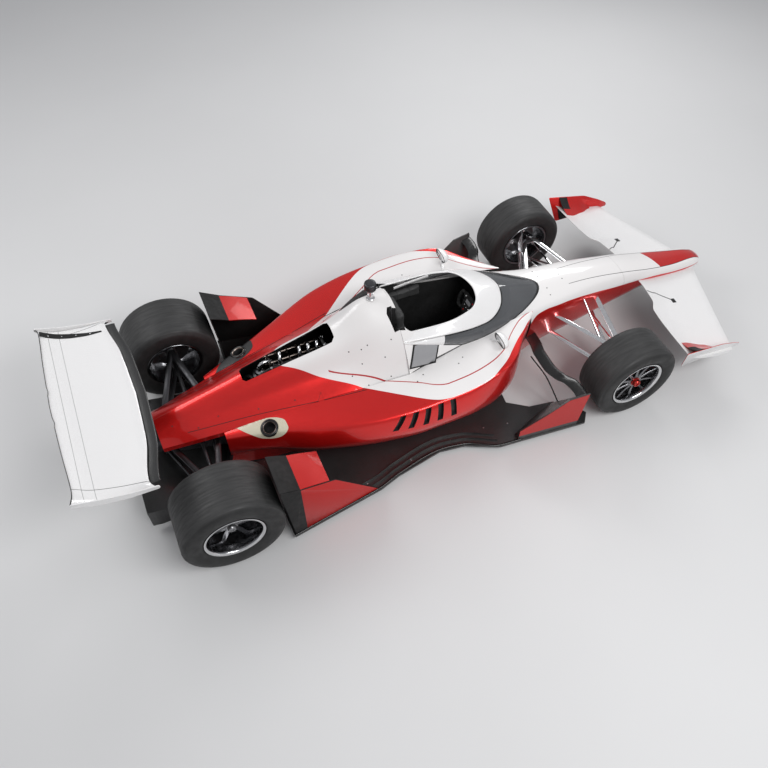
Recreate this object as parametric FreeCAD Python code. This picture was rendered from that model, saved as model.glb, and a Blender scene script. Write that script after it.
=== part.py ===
import FreeCAD, Part
import math
import os

os.makedirs("parts", exist_ok=True)

# Driving dimensions, in millimetres: +X is forward, +Y is to the left, the ground is at zero
overall_length = 5155
wheelbase = 3085
rear_overhang = 800
front_track = 1650
rear_track = 1560
body_half_width = 765
hoop_height = 1060

front_tyre_radius = 328
front_tyre_width = 305
rear_tyre_radius = 347
rear_tyre_width = 400
rim_lip_radius = 205
bead_radius = 190
steer_arm_length = 120

front_axle_x = overall_length / 2 - (overall_length - wheelbase - rear_overhang)
rear_axle_x = front_axle_x - wheelbase
front_wheel_y = front_track / 2
rear_wheel_y = rear_track / 2

ride_height = 35
floor_thickness = 15
floor_top_z = ride_height + floor_thickness

# Clearances between pieces
seat_gap = 0.3
pin_gap = 0.3
bore_gap = 0.8
joint_gap = 2
overrun = 60
touching = 0.01
flat_enough = 0.000001
foot_z = floor_top_z + seat_gap

# How many flat panels stand in for a round form
tyre_panels = 48
barrel_panels = 28
disc_panels = 16
pipe_panels = 12
tube_panels = 8
corner_parts = 4

ORIGIN = FreeCAD.Vector(0, 0, 0)
X_AXIS = FreeCAD.Vector(1, 0, 0)
Y_AXIS = FreeCAD.Vector(0, 1, 0)
Z_AXIS = FreeCAD.Vector(0, 0, 1)


def station(share):
    """X of a place given as a share of the wheelbase behind the front axle."""
    return front_axle_x - share * wheelbase


def wide(share):
    return share * body_half_width


def high(share):
    return share * hoop_height


def vec(x, y, z):
    return FreeCAD.Vector(x, y, z)


def mirrored(shape):
    return shape.mirror(ORIGIN, Y_AXIS)


def pair(shape):
    """A left piece and its mirror image, as two solids that do not touch."""
    return Part.makeCompound([shape, mirrored(shape)])


def save(name, shape):
    shape.exportStep("parts/" + name + ".step")


def box(low, high_corner):
    size = high_corner - low
    return Part.makeBox(size.x, size.y, size.z, low)


def polygon(points):
    return Part.Face(Part.makePolygon(points + [points[0]]))


def plate_xz(points, y_low, y_high):
    face = polygon([vec(x, y_low, z) for x, z in points])
    return face.extrude(vec(0, y_high - y_low, 0))


def plate_tilted(points, y_at, wall):
    """Plate of even width along Y whose inner face follows a plane given by y_at(x, z)."""
    face = polygon([vec(x, y_at(x, z), z) for x, z in points])
    return face.extrude(vec(0, wall, 0))


def plate_xy(points, z_low, z_high):
    face = polygon([vec(x, y, z_low) for x, y in points])
    return face.extrude(vec(0, 0, z_high - z_low))


def plate_yz(points, x_low, x_high):
    face = polygon([vec(x_low, y, z) for y, z in points])
    return face.extrude(vec(x_high - x_low, 0, 0))


def at_shares(row):
    """Point given as shares: the station, the half width and the height."""
    return vec(station(row[0]), wide(row[1]), high(row[2]))


def rod(start, end, radius):
    along = end - start
    return Part.makeCylinder(radius, along.Length, start, along)


def tube_bar(start, end, radius, sides=tube_panels):
    """Round bar made of flat panels, for what nothing turns on."""
    along = end - start
    level = Z_AXIS if abs(along.x) + abs(along.y) > touching else X_AXIS
    across = along.cross(level).normalize() * radius
    up = along.cross(across).normalize() * radius
    turns = [2 * math.pi * (k + 1 / 2) / sides for k in range(sides)]
    return polygon([start + across * math.cos(t) + up * math.sin(t) for t in turns]).extrude(along)


def bore_bar(start, end, radius, sides=pipe_panels):
    """Cutter for a bore that a round bar of the given radius just fills."""
    return tube_bar(start, end, radius / math.cos(math.pi / sides), sides)


def rounded(low_a, high_a, low_b, high_b, radii):
    """Rectangle with rounded corners as pairs of coordinates, one radius for each corner."""
    corners = [(low_a, low_b, 1, 1), (high_a, low_b, -1, 1), (high_a, high_b, -1, -1), (low_a, high_b, 1, -1)]
    points = []
    for index, (a, b, turn_a, turn_b) in enumerate(corners):
        radius = radii[index]
        for step in range(corner_parts + 1):
            angle = math.pi + (index + step / corner_parts) * math.pi / 2
            across = a + radius * (turn_a + math.cos(angle))
            points.append((across, b + radius * (turn_b + math.sin(angle))))
    return points


def smooth(points, parts):
    """Points spaced evenly along the smooth curve through a few section points."""
    spline = Part.BSplineCurve()
    steps = [i / (len(points) - 1) for i in range(len(points))]
    spline.interpolate(Points=points, Parameters=steps)
    return spline.toShape().discretize(parts + 1)


def outline(*runs):
    """Closed outline of consecutive runs of points, with shared points written once."""
    points = []
    for point in sum(runs, []):
        if not points or (point - points[-1]).Length > touching:
            points.append(point)
    if (points[0] - points[-1]).Length < touching:
        points.pop()
    return points


def panels(corners, middle):
    """One flat face through four corners, or two that fold outward, away from the middle."""
    distinct = outline(corners)
    if len(distinct) < 3:
        return []
    if len(distinct) == 3:
        return [polygon(distinct)]
    a, b, c, d = distinct
    normal = (c - a).cross(d - b).normalize()
    twist = (a + c - b - d).dot(normal)
    if abs(twist) < flat_enough:
        return [polygon(distinct)]
    if normal.dot(a + b + c + d - middle * 4) < 0:
        twist = -twist
    if twist > 0:
        return [polygon([a, b, c]), polygon([a, c, d])]
    return [polygon([a, b, d]), polygon([b, c, d])]


def lofted(sections, closed=False):
    """Solid of flat panels between consecutive sections; closed joins the last section to the first."""
    spans = list(zip(sections, sections[1:]))
    if closed:
        spans.append((sections[-1], sections[0]))
    faces = []
    for near, far in spans:
        middle = sum(near + far, vec(0, 0, 0)) / (len(near) + len(far))
        for i in range(len(near)):
            j = (i + 1) % len(near)
            faces += panels([near[i], near[j], far[j], far[i]], middle)
    if not closed:
        faces += [polygon(sections[0][::-1]), polygon(sections[-1])]
    solid = Part.Solid(Part.Shell(faces))
    if solid.Volume < 0:
        solid.reverse()
    return solid


def fused(shapes):
    whole = shapes[0].multiFuse(shapes[1:]).removeSplitter()
    if whole.Volume < 0:
        whole.reverse()
    return whole


lens_shares = [(0.50, 0.00), (0.30, 0.36), (0.00, 0.50), (-0.30, 0.30)]


def lens(centre, chord, thickness):
    """Streamlined outline in an XZ plane, blunt in front and pointed behind."""
    upper = [vec(chord * c, 0, thickness * t) for c, t in lens_shares]
    lower = [vec(p.x, 0, -p.z) for p in reversed(upper[1:])]
    tail = [vec(-chord / 2, 0, 0)]
    return outline([centre + p for p in upper + tail + lower])


def leg(start, end, chord, thickness):
    return lofted([lens(start, chord, thickness), lens(end, chord, thickness)])


def profile_at(profile, centre, side, angle, stretch=1):
    """Wheel profile at one angle about the axle: profile holds (outboard, radius) pairs."""
    across = math.cos(angle) * stretch
    up = math.sin(angle) * stretch
    return [centre + vec(radius * across, side * out, radius * up) for out, radius in profile]


def turned(profile, centre, side, sides, stretch=1):
    """Ring of flat panels about the wheel axis, with one panel flat on the ground."""
    turns = [2 * math.pi * (k + 1 / 2) / sides for k in range(sides)]
    return lofted([profile_at(profile, centre, side, angle, stretch) for angle in turns], True)


# Nose and tub sections, front to rear. Each row is the station, then half width and height
# of the bottom corner, the flank, the shoulder and the top edge, then the height on the centre line.
# Bottom corners are measured up from the floor
nose_shares = [
    (-0.412, 0.050, 0.2355, 0.059, 0.291, 0.059, 0.304, 0.047, 0.315, 0.319),
    (-0.401, 0.089, 0.2165, 0.105, 0.279, 0.105, 0.308, 0.084, 0.326, 0.336),
    (-0.374, 0.107, 0.2095, 0.128, 0.283, 0.128, 0.325, 0.107, 0.349, 0.360),
    (-0.315, 0.115, 0.2095, 0.144, 0.302, 0.146, 0.354, 0.125, 0.379, 0.394),
    (-0.224, 0.124, 0.2185, 0.165, 0.340, 0.170, 0.406, 0.144, 0.442, 0.460),
    (-0.127, 0.144, 0.1885, 0.196, 0.321, 0.209, 0.443, 0.167, 0.508, 0.534),
]
tub_shares = [
    (-0.127, 0.144, 0.1885, 0.196, 0.321, 0.209, 0.443, 0.167, 0.508, 0.534),
    (0.002, 0.183, 0.1295, 0.248, 0.283, 0.269, 0.472, 0.217, 0.557, 0.587),
    (0.116, 0.216, 0.0945, 0.281, 0.283, 0.316, 0.491, 0.268, 0.574, 0.598),
    (0.229, 0.261, 0.000, 0.353, 0.283, 0.395, 0.533, 0.356, 0.618, 0.651),
    (0.327, 0.288, 0.000, 0.405, 0.283, 0.451, 0.557, 0.408, 0.651, 0.736),
    (0.424, 0.314, 0.000, 0.438, 0.283, 0.499, 0.575, 0.416, 0.703, 0.811),
    (0.521, 0.327, 0.000, 0.464, 0.283, 0.536, 0.583, 0.392, 0.813, 0.972),
]
flank_parts = 3
crown_parts = 2
crown_width_share = 0.55
crown_height_share = 0.70


def shell_section(row, grow):
    """Closed section of the nose or tub: flat bottom, curved flanks and a crowned top."""
    x = station(row[0])
    bottom, flank, shoulder, edge = [
        (wide(row[i]) + grow, high(row[i + 1])) for i in (1, 3, 5, 7)
    ]
    crown = high(row[9]) + grow
    bottom = (bottom[0], foot_z + high(row[2]) - grow)
    edge = (edge[0], edge[1] + grow)
    mid = (edge[0] * crown_width_share, edge[1] + (crown - edge[1]) * crown_height_share)
    left = [vec(x, y, z) for y, z in (bottom, flank, shoulder, edge)]
    top = [left[-1], vec(x, mid[0], mid[1]), vec(x, 0, crown)]
    half = smooth(left, flank_parts) + smooth(top, crown_parts)
    return outline(half, [vec(x, -p.y, p.z) for p in reversed(half)])


def shell_body(rows, grow=0):
    return lofted([shell_section(row, grow) for row in rows])


# The split line between tub, engine cover and side pods in plan
split_shares = [(0.174, 0.325), (0.521, 0.536), (0.949, 0.325), (1.10, 0.21)]


def split_prism(offset, outer):
    """Everything inboard of the split line, or outboard of it on the left side."""
    points = [(station(s), wide(w) + offset) for s, w in split_shares]
    front_x = points[0][0]
    rear_x = points[-1][0]
    top = hoop_height + overrun
    if outer:
        edge = [(rear_x, wide(1) + overrun), (front_x, wide(1) + overrun)]
        return plate_xy(points + edge, 0, top)
    edge = [(x, -y) for x, y in reversed(points)]
    return plate_xy(points + edge, 0, top)


# Cockpit opening and footwell
cockpit_half_width = 250
cockpit_front_share = 0.200
cockpit_rear_share = 0.512
cockpit_front_x = station(cockpit_front_share)
cockpit_rear_x = station(cockpit_rear_share)
cockpit_floor_share = 0.094
cockpit_floor_z = high(cockpit_floor_share)
cockpit_corner_radius = 245
cockpit_rear_radius = 60
footwell_half_width = 135
footwell_height_shares = (0.226, 0.415)
footwell_low_z = high(footwell_height_shares[0])
footwell_high_z = high(footwell_height_shares[1])
footwell_front_share = -0.020
footwell_front_x = station(footwell_front_share)
tank_half_width = 250
tank_rear_share = 0.620
tank_rear_x = station(tank_rear_share)
tank_top_share = 0.623
tank_top_z = high(tank_top_share)


def cockpit_void(inset, z_low, z_high):
    """Prism of the cockpit opening in plan, drawn in by an inset."""
    half = cockpit_half_width - inset
    heel = cockpit_rear_radius
    toe = cockpit_corner_radius - inset
    plan = rounded(cockpit_rear_x + inset, cockpit_front_x - inset, -half, half, [heel, toe, toe, heel])
    return plate_xy(plan, z_low, z_high)


rack_radius = 10
rack_eye_radius = 16
rack_eye_half_height = 12
rack_drop = 52
rack_z = front_tyre_radius - rack_drop
rack_x = front_axle_x + steer_arm_length

# Steering wheel and column
wheel_centre_shares = (0.305, 0.000, 0.604)
wheel_centre = at_shares(wheel_centre_shares)
column_tilt = 18
column_radius = 12
column_entry = 40
column_axis = vec(math.cos(math.radians(column_tilt)), 0, -math.sin(math.radians(column_tilt)))
column_length = (cockpit_front_x + column_entry - wheel_centre.x) / column_axis.x

# Monocoque tub
tub_outer = shell_body(tub_shares)
tub_grown = shell_body(tub_shares, seat_gap)
monocoque = tub_outer.cut(cockpit_void(0, cockpit_floor_z, hoop_height + overrun))
footwell = box(
    vec(cockpit_front_x - overrun, -footwell_half_width, footwell_low_z),
    vec(footwell_front_x, footwell_half_width, footwell_high_z),
)
monocoque = monocoque.cut(footwell)
rack_bore = tube_bar(
    vec(rack_x, -front_wheel_y, rack_z), vec(rack_x, front_wheel_y, rack_z), rack_radius + bore_gap
)
column_bore = bore_bar(
    wheel_centre, wheel_centre + column_axis * (column_length + bore_gap), column_radius + bore_gap
)
monocoque = monocoque.cut(rack_bore).cut(column_bore)
tank = box(
    vec(tank_rear_x, -tank_half_width, foot_z),
    vec(station(tub_shares[-1][0]), tank_half_width, tank_top_z),
)
behind_pods = box(
    vec(tank_rear_x - overrun, -wide(1) - overrun, 0),
    vec(station(split_shares[0][0]), wide(1) + overrun, hoop_height + overrun),
)
trim = behind_pods.cut(split_prism(-seat_gap, False))
monocoque = monocoque.cut(trim).fuse(tank).removeSplitter()
save("monocoque", monocoque)

# Nose cone, ahead of the front bulkhead
nose_outer = shell_body(nose_shares)
nose_cone = nose_outer.cut(
    box(
        vec(station(nose_shares[-1][0]) - overrun, -wide(1), 0),
        vec(station(nose_shares[-1][0]) + seat_gap, wide(1), hoop_height),
    )
)
nose_grown = shell_body(nose_shares, seat_gap)
save("nose_cone", nose_cone)

# Engine cover sections: station, half width and height of the split line, the valley,
# the spine's shoulder, then the height on the centre line
cover_shares = [
    (0.521, 0.536, 0.583, 0.408, 0.792, 0.222, 0.929, 0.986),
    (0.570, 0.512, 0.577, 0.366, 0.745, 0.183, 0.910, 0.991),
    (0.657, 0.469, 0.566, 0.294, 0.651, 0.141, 0.797, 0.842),
    (0.771, 0.413, 0.530, 0.255, 0.599, 0.118, 0.719, 0.747),
    (0.874, 0.362, 0.492, 0.220, 0.555, 0.097, 0.651, 0.674),
    (0.949, 0.325, 0.458, 0.191, 0.521, 0.084, 0.592, 0.613),
    (1.084, 0.216, 0.401, 0.154, 0.464, 0.072, 0.506, 0.516),
]
cover_parts = 5
cover_wall = 8
cover_skirt = 40
slot_front_share = 0.657
slot_rear_share = 0.874
slot_width_shares = (0.119, 0.080)


def cover_section(row, wall, x):
    half = wide(row[1]) + overrun - wall
    base = high(row[2]) - cover_skirt - wall
    spots = [vec(x, half, high(row[2]) - wall)]
    spots += [vec(x, wide(row[i]) - wall, high(row[i + 1]) - wall) for i in (1, 3, 5)]
    spots += [vec(x, 0, high(row[7]) - wall)]
    side = [vec(x, half, base)] + smooth(spots, cover_parts)
    return outline(side, [vec(x, -p.y, p.z) for p in reversed(side)])


cover_front_x = station(cover_shares[0][0]) - seat_gap
cover_outer = lofted([cover_section(row, 0, station(row[0])) for row in cover_shares])
cover_inner = lofted([cover_section(row, cover_wall, station(row[0])) for row in cover_shares])
cover_trimmed = cover_outer.common(split_prism(-seat_gap, False))
cover_space = cover_inner.common(split_prism(-seat_gap - cover_wall, False))
slot_prism = plate_xy(
    [
        (station(slot_front_share), -wide(slot_width_shares[0])),
        (station(slot_front_share), wide(slot_width_shares[0])),
        (station(slot_rear_share), wide(slot_width_shares[1])),
        (station(slot_rear_share), -wide(slot_width_shares[1])),
    ],
    tank_top_z - overrun,
    hoop_height + overrun,
)
front_face_cut = box(
    vec(cover_front_x, -wide(1), 0), vec(cover_front_x + overrun, wide(1), hoop_height + overrun)
)
engine_cover = cover_trimmed.cut(cover_space).cut(slot_prism).cut(front_face_cut)
save("engine_cover", engine_cover)

# Side pod sections, left side: station, then half width and height of the keel, the undercut,
# the widest line, the shoulder, the deck and the inner edge of the deck. The keel is measured
# up from the floor
pod_shares = [
    (0.174, 0.307, 0.4805, 0.327, 0.528, 0.342, 0.557, 0.348, 0.608, 0.333, 0.615, 0.250, 0.613),
    (0.229, 0.350, 0.3585, 0.529, 0.406, 0.573, 0.528, 0.559, 0.626, 0.458, 0.632, 0.280, 0.625),
    (0.291, 0.350, 0.2265, 0.745, 0.274, 0.837, 0.472, 0.808, 0.643, 0.627, 0.645, 0.300, 0.630),
    (0.349, 0.350, 0.000, 0.784, 0.170, 0.936, 0.453, 0.892, 0.630, 0.706, 0.638, 0.340, 0.630),
    (0.424, 0.350, 0.000, 0.810, 0.179, 0.991, 0.453, 0.931, 0.611, 0.732, 0.619, 0.360, 0.623),
    (0.521, 0.350, 0.000, 0.810, 0.179, 0.983, 0.443, 0.922, 0.592, 0.732, 0.602, 0.360, 0.596),
    (0.618, 0.340, 0.000, 0.758, 0.179, 0.923, 0.425, 0.873, 0.566, 0.706, 0.577, 0.340, 0.574),
    (0.764, 0.261, 0.000, 0.562, 0.170, 0.732, 0.377, 0.660, 0.514, 0.549, 0.530, 0.261, 0.534),
    (0.855, 0.196, 0.000, 0.392, 0.170, 0.556, 0.358, 0.520, 0.481, 0.431, 0.500, 0.196, 0.504),
    (0.949, 0.157, 0.0375, 0.288, 0.170, 0.405, 0.330, 0.392, 0.436, 0.353, 0.453, 0.157, 0.460),
]

foot_width_share = 0.7
pod_flank_parts = 4
pod_deck_parts = 2
# Air inlet and exhaust outlet of each pod
inlet_width_shares = (0.431, 0.732)
inlet_height_shares = (0.311, 0.538)
inlet_inner_y = wide(inlet_width_shares[0])
inlet_outer_y = wide(inlet_width_shares[1])
inlet_low_z = high(inlet_height_shares[0])
inlet_high_z = high(inlet_height_shares[1])
inlet_depth_share = 0.40
inlet_corner_radius = 40
radiator_thickness = 60
exhaust_shares = (0.854, 0.484, 0.517)
exhaust_radius = 44
exhaust_wall = 4
exhaust_depth = 110

# Five slanted louvres in each pod's flank: the front one, then the steps from one to the next
louvre_count = 5
louvre_height_shares = (0.460, 0.594)
louvre_front_shares = (0.4555, 0.4560)
louvre_pitch_shares = (0.0345, 0.0290)
louvre_chord_share = 0.0135
louvre_depth = 24


def pod_section(row, inset=0):
    """Closed section of the left pod, with its outer flank drawn in by an inset."""
    x = station(row[0])
    spots = [vec(x, wide(row[i]), high(row[i + 1])) for i in (1, 3, 5, 7, 9, 11)]
    keel, under, widest, shoulder, deck, inner = spots
    keel.z = foot_z + high(row[2])
    foot = vec(x, keel.y + (under.y - keel.y) * foot_width_share, keel.z)
    flank = smooth([foot, under, widest, shoulder], pod_flank_parts)
    flank = [p - Y_AXIS * inset for p in flank]
    return outline([keel], flank, smooth([shoulder - Y_AXIS * inset, deck, inner], pod_deck_parts))


def louvre_recess(index, core):
    """Slanted slot that is cut into the flank as deep as a core drawn in from the skin."""
    low_share, top_share = [
        louvre_front_shares[i] + louvre_pitch_shares[i] * index for i in range(2)
    ]
    low_z, top_z = [high(share) for share in louvre_height_shares]
    chord = louvre_chord_share
    points = [(low_share, low_z), (top_share, top_z), (top_share + chord, top_z), (low_share + chord, low_z)]
    slot = plate_xz([(station(share), z) for share, z in points], wide(1) / 2, wide(1) + overrun)
    return slot.cut(core)


pod_loft = lofted([pod_section(row) for row in pod_shares])
louvre_rows = [row for row in pod_shares if row[1] == pod_shares[4][1]]
louvre_rows.append(pod_shares[pod_shares.index(louvre_rows[-1]) + 1])
louvre_core = lofted([pod_section(row, louvre_depth) for row in louvre_rows])
above_floor = box(
    vec(rear_axle_x, 0, floor_top_z + seat_gap),
    vec(front_axle_x, wide(1) + overrun, hoop_height),
)
pod_body = pod_loft.common(split_prism(seat_gap, True)).common(above_floor)
inlet_rear_x = station(inlet_depth_share)
inlet_outline = rounded(inlet_inner_y, inlet_outer_y, inlet_low_z, inlet_high_z, [inlet_corner_radius] * 4)
inlet = plate_yz(inlet_outline, inlet_rear_x, front_axle_x)
exhaust_mouth = at_shares(exhaust_shares)
exhaust_foot = exhaust_mouth - Z_AXIS * exhaust_depth
exhaust_sky = vec(exhaust_mouth.x, exhaust_mouth.y, hoop_height)
exhaust_hole = tube_bar(exhaust_foot, exhaust_sky, exhaust_radius, pipe_panels)
sidepod = pod_body.cut(inlet).cut(exhaust_hole)
for index in range(louvre_count):
    sidepod = sidepod.cut(louvre_recess(index, louvre_core))
save("sidepod_left", sidepod)
save("sidepod_right", mirrored(sidepod))

# Radiator cores at the back of the inlets
radiator = box(
    vec(inlet_rear_x + seat_gap, inlet_inner_y + inlet_corner_radius, inlet_low_z + seat_gap),
    vec(
        inlet_rear_x + radiator_thickness,
        inlet_outer_y - inlet_corner_radius,
        inlet_high_z - seat_gap,
    ),
)
save("radiators", pair(radiator))

# Exhaust outlets, each a short pipe with a rolled ring
pipe_outer = exhaust_radius - bore_gap
pipe = tube_bar(exhaust_foot + Z_AXIS * seat_gap, exhaust_mouth, pipe_outer, pipe_panels)
pipe_bore = tube_bar(
    exhaust_foot + Z_AXIS * exhaust_wall,
    exhaust_mouth + Z_AXIS * overrun,
    pipe_outer - exhaust_wall,
    pipe_panels,
)
pipe = pipe.cut(pipe_bore)
save("exhausts", pair(pipe))

# Cockpit pieces
surround_height_shares = (0.651, 0.745)
surround_low_z = high(surround_height_shares[0])
surround_high_z = high(surround_height_shares[1])
surround_thickness = 45
surround_front_share = 0.40
surround_front_x = station(surround_front_share)
headrest_half_width = 115
headrest_top_share = 0.854
headrest_high_z = high(headrest_top_share)
headrest_depth = 75

ring = cockpit_void(seat_gap, surround_low_z, surround_high_z).cut(
    cockpit_void(surround_thickness, surround_low_z - overrun, surround_high_z + overrun)
)
ring = ring.cut(
    box(vec(surround_front_x, -wide(1), 0), vec(front_axle_x, wide(1), hoop_height))
)
headrest = box(
    vec(cockpit_rear_x + seat_gap, -headrest_half_width, surround_low_z),
    vec(cockpit_rear_x + headrest_depth, headrest_half_width, headrest_high_z),
)
save("cockpit_surround", ring.fuse(headrest).removeSplitter())

seat_half_width = 185
seat_back_top_z = surround_low_z - joint_gap
seat_front_share = 0.34
seat_front_x = station(seat_front_share)
seat_heel_share = 0.46
seat_height_shares = (0.189, 0.217)
seat_pan_z = high(seat_height_shares[0])
seat_lip_z = high(seat_height_shares[1])
seat_side_wall = 25
seat_side_rise = 90
seat_profile = [
    (cockpit_rear_x + headrest_depth / 2, seat_back_top_z),
    (cockpit_rear_x + seat_gap, seat_back_top_z),
    (cockpit_rear_x + seat_gap, cockpit_floor_z + seat_gap),
    (seat_front_x, cockpit_floor_z + seat_gap),
    (seat_front_x, seat_lip_z),
    (station(seat_heel_share), seat_pan_z),
]
seat_side = seat_profile[:-1] + [(station(seat_heel_share), seat_pan_z + seat_side_rise)]
seat_pan = plate_xz(seat_profile, -seat_half_width, seat_half_width)
seat_walls = [
    plate_xz(seat_side, -seat_half_width, seat_side_wall - seat_half_width),
    plate_xz(seat_side, seat_half_width - seat_side_wall, seat_half_width),
]
save("seat", fused([seat_pan] + seat_walls))

# Steering wheel with two open hand grips
grip_half_width = 135
grip_half_height = 80
grip_depth = 32
grip_spacing = 62
grip_outline_shares = [
    (-1.00, 0.55), (-0.55, 1.00), (0.55, 1.00), (1.00, 0.55), (1.00, -0.75), (0.45, -1.00), (-0.45, -1.00),
    (-1.00, -0.75),
]
grip_hole_shares = [(1.00, -0.50), (1.60, -0.50), (1.60, 0.50), (1.00, 0.50)]


def steering_wheel_shape():
    """Flat butterfly wheel with open hand grips, built upright and then tilted onto the column."""
    plan = [(grip_half_width * a, grip_half_height * b) for a, b in grip_outline_shares]
    body = plate_yz(plan, -grip_depth / 2, grip_depth / 2)
    for side in (-1, 1):
        hole = [(side * grip_spacing * a, grip_half_height * b) for a, b in grip_hole_shares]
        body = body.cut(plate_yz(hole, -grip_depth, grip_depth))
    shaft = rod(ORIGIN, X_AXIS * column_length, column_radius)
    wheel = body.fuse(shaft).removeSplitter()
    wheel.rotate(ORIGIN, Y_AXIS, column_tilt)
    wheel.translate(wheel_centre)
    return wheel


save("steering_wheel", steering_wheel_shape())

# Frame of the cockpit screen: a ring that widens to a visor band in front. Each row is the
# station and half width and height of its inner top edge, then of its outer low edge
frame_shares = [
    (0.520, 0.310, 0.835, 0.520, 0.400, 0.815),
    (0.408, 0.320, 0.811, 0.408, 0.412, 0.760),
    (0.336, 0.262, 0.809, 0.307, 0.379, 0.722),
    (0.309, 0.144, 0.808, 0.249, 0.222, 0.731),
    (0.301, 0.000, 0.807, 0.230, 0.000, 0.742),
]
frame_thickness = 16
screen_thickness = 8

# Foot of the screen on the tub, from the front point back along one side
foot_shares = [
    (0.111, 0.000, 0.570), (0.178, 0.190, 0.560), (0.262, 0.330, 0.590), (0.343, 0.400, 0.630),
    (0.424, 0.410, 0.680),
]


def frame_section(row, side):
    s_in, w_in, h_in, s_out, w_out, h_out = row
    inner = vec(station(s_in), side * wide(w_in), high(h_in))
    outer = vec(station(s_out), side * wide(w_out), high(h_out))
    drop = vec(0, 0, -frame_thickness)
    return [inner, outer, outer + drop, inner + drop]


frame_rows = [(row, 1) for row in frame_shares] + [(row, -1) for row in reversed(frame_shares[:-1])]
screen_frame = lofted([frame_section(row, side) for row, side in frame_rows])


def screen_edges(top_row, foot_row, side):
    """Top and foot points of the glass at one row, the top just under the frame."""
    under = high(top_row[5]) - frame_thickness - seat_gap
    top = vec(station(top_row[3]), side * wide(top_row[4]), under)
    return top, vec(station(foot_row[0]), side * wide(foot_row[1]), high(foot_row[2]))


screen_rows = list(zip(reversed(frame_shares), foot_shares))
screen_lines = [screen_edges(top, foot, 1) for top, foot in reversed(screen_rows)]
screen_lines += [screen_edges(top, foot, -1) for top, foot in screen_rows[1:]]


def screen_section(index):
    """Section of the glass at one row, set back by its thickness square to the surface."""
    top, foot = screen_lines[index]
    before = screen_lines[max(index - 1, 0)][0]
    after = screen_lines[min(index + 1, len(screen_lines) - 1)][0]
    back = (top - foot).cross(after - before).normalize() * screen_thickness
    if (wheel_centre - top).dot(back) < 0:
        back = back * -1
    return [top, foot, foot + back, top + back]


# Centre strut of the frame, just behind the glass, down to the tub
strut_half_width = 9
strut_depth = 34
strut_rise = 110
middle_top, middle_foot, glass_foot, glass_top = screen_section(len(screen_lines) // 2)
strut_shift = (glass_top - middle_top).normalize() * seat_gap
strut_along = (glass_top - glass_foot).normalize()
strut_head = glass_top + strut_shift + strut_along * strut_rise
strut_foot = glass_foot + strut_shift - strut_along * overrun
strut_points = [strut_head, strut_foot, strut_foot - X_AXIS * strut_depth, strut_head - X_AXIS * strut_depth]
strut = plate_xz([(p.x, p.z) for p in strut_points], -strut_half_width, strut_half_width)
screen_frame = fused([screen_frame, strut]).cut(tub_grown)
screen_frame = max(screen_frame.Solids, key=lambda solid: solid.Volume)
save("screen_frame", screen_frame)

screen_glass = lofted([screen_section(i) for i in range(len(screen_lines))])
screen_glass = screen_glass.cut(tub_grown).cut(screen_frame)
screen_glass = max(screen_glass.Solids, key=lambda solid: solid.Volume)
save("screen_glass", screen_glass)

# Engine, open to view through the slot in its cover
engine_front_x = tank_rear_x - seat_gap
engine_rear_share = 0.865
engine_rear_x = station(engine_rear_share)
crankcase_half_width = 140
crankcase_low_z = floor_top_z + seat_gap
crankcase_high_z = 330
bank_angle = 32
bank_height = 250
bank_width = 120
bank_front_inset = 40
plenum_radius = 62
plenum_z = 610
trumpet_radius = 24
trumpet_pitch = 120
trumpet_count = 3
trumpet_y = 62

crankcase = box(
    vec(engine_rear_x, -crankcase_half_width, crankcase_low_z),
    vec(engine_front_x, crankcase_half_width, crankcase_high_z),
)


def cylinder_bank(side):
    bank = box(
        vec(engine_rear_x + bank_front_inset, -bank_width / 2, 0),
        vec(engine_front_x - bank_front_inset, bank_width / 2, bank_height),
    )
    bank.rotate(ORIGIN, X_AXIS, -side * bank_angle)
    bank.translate(vec(0, 0, crankcase_high_z - bank_width / 2))
    return bank


trumpets = []
for index in range(trumpet_count):
    x = (engine_front_x + engine_rear_x) / 2 + (index - (trumpet_count - 1) / 2) * trumpet_pitch
    for side in (-1, 1):
        y = side * trumpet_y
        trumpets.append(tube_bar(vec(x, y, crankcase_high_z), vec(x, y, plenum_z), trumpet_radius))
plenum_half = (trumpet_count - 1) * trumpet_pitch / 2 + trumpet_radius * 2
plenum_mid = (engine_front_x + engine_rear_x) / 2
plenum_centre = vec(plenum_mid, 0, plenum_z)
plenum = tube_bar(plenum_centre - X_AXIS * plenum_half, plenum_centre + X_AXIS * plenum_half, plenum_radius)
header_radius = 16
header_count = 3
header_rise_share = 0.6
header_reach = 60
headers = []
for index in range(header_count):
    x = plenum_mid + (index - (header_count - 1) / 2) * trumpet_pitch
    for side in (-1, 1):
        root_z = crankcase_high_z + bank_height * header_rise_share / 2
        root = vec(x, side * (bank_height * header_rise_share * math.sin(math.radians(bank_angle))), root_z)
        elbow = root + vec(0, side * header_reach, -header_reach)
        headers.append(tube_bar(root, elbow, header_radius))
        header_end = vec(engine_rear_x + bank_front_inset, elbow.y, elbow.z)
        headers.append(tube_bar(elbow, header_end, header_radius))
save("engine_block", fused([crankcase, cylinder_bank(1), cylinder_bank(-1), plenum] + trumpets + headers))

# Gearbox case and crash structure behind the engine
case_shares = [
    (engine_rear_share, 0.200, 0.068, 0.400), (0.990, 0.170, 0.170, 0.372), (1.085, 0.120, 0.215, 0.362),
]
case_corner_share = 0.3
tail_shares = [(1.085, 0.100, 0.240, 0.345), (1.180, 0.075, 0.290, 0.340)]


def case_section(row):
    x = station(row[0]) - seat_gap
    half = wide(row[1])
    low_z = high(row[2])
    top_z = high(row[3])
    cut = half * case_corner_share
    spots = [
        (half, low_z + cut), (half, top_z - cut), (half - cut, top_z), (cut - half, top_z),
        (-half, top_z - cut), (-half, low_z + cut), (cut - half, low_z), (half - cut, low_z),
    ]
    return [vec(x, y, z) for y, z in spots]


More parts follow.
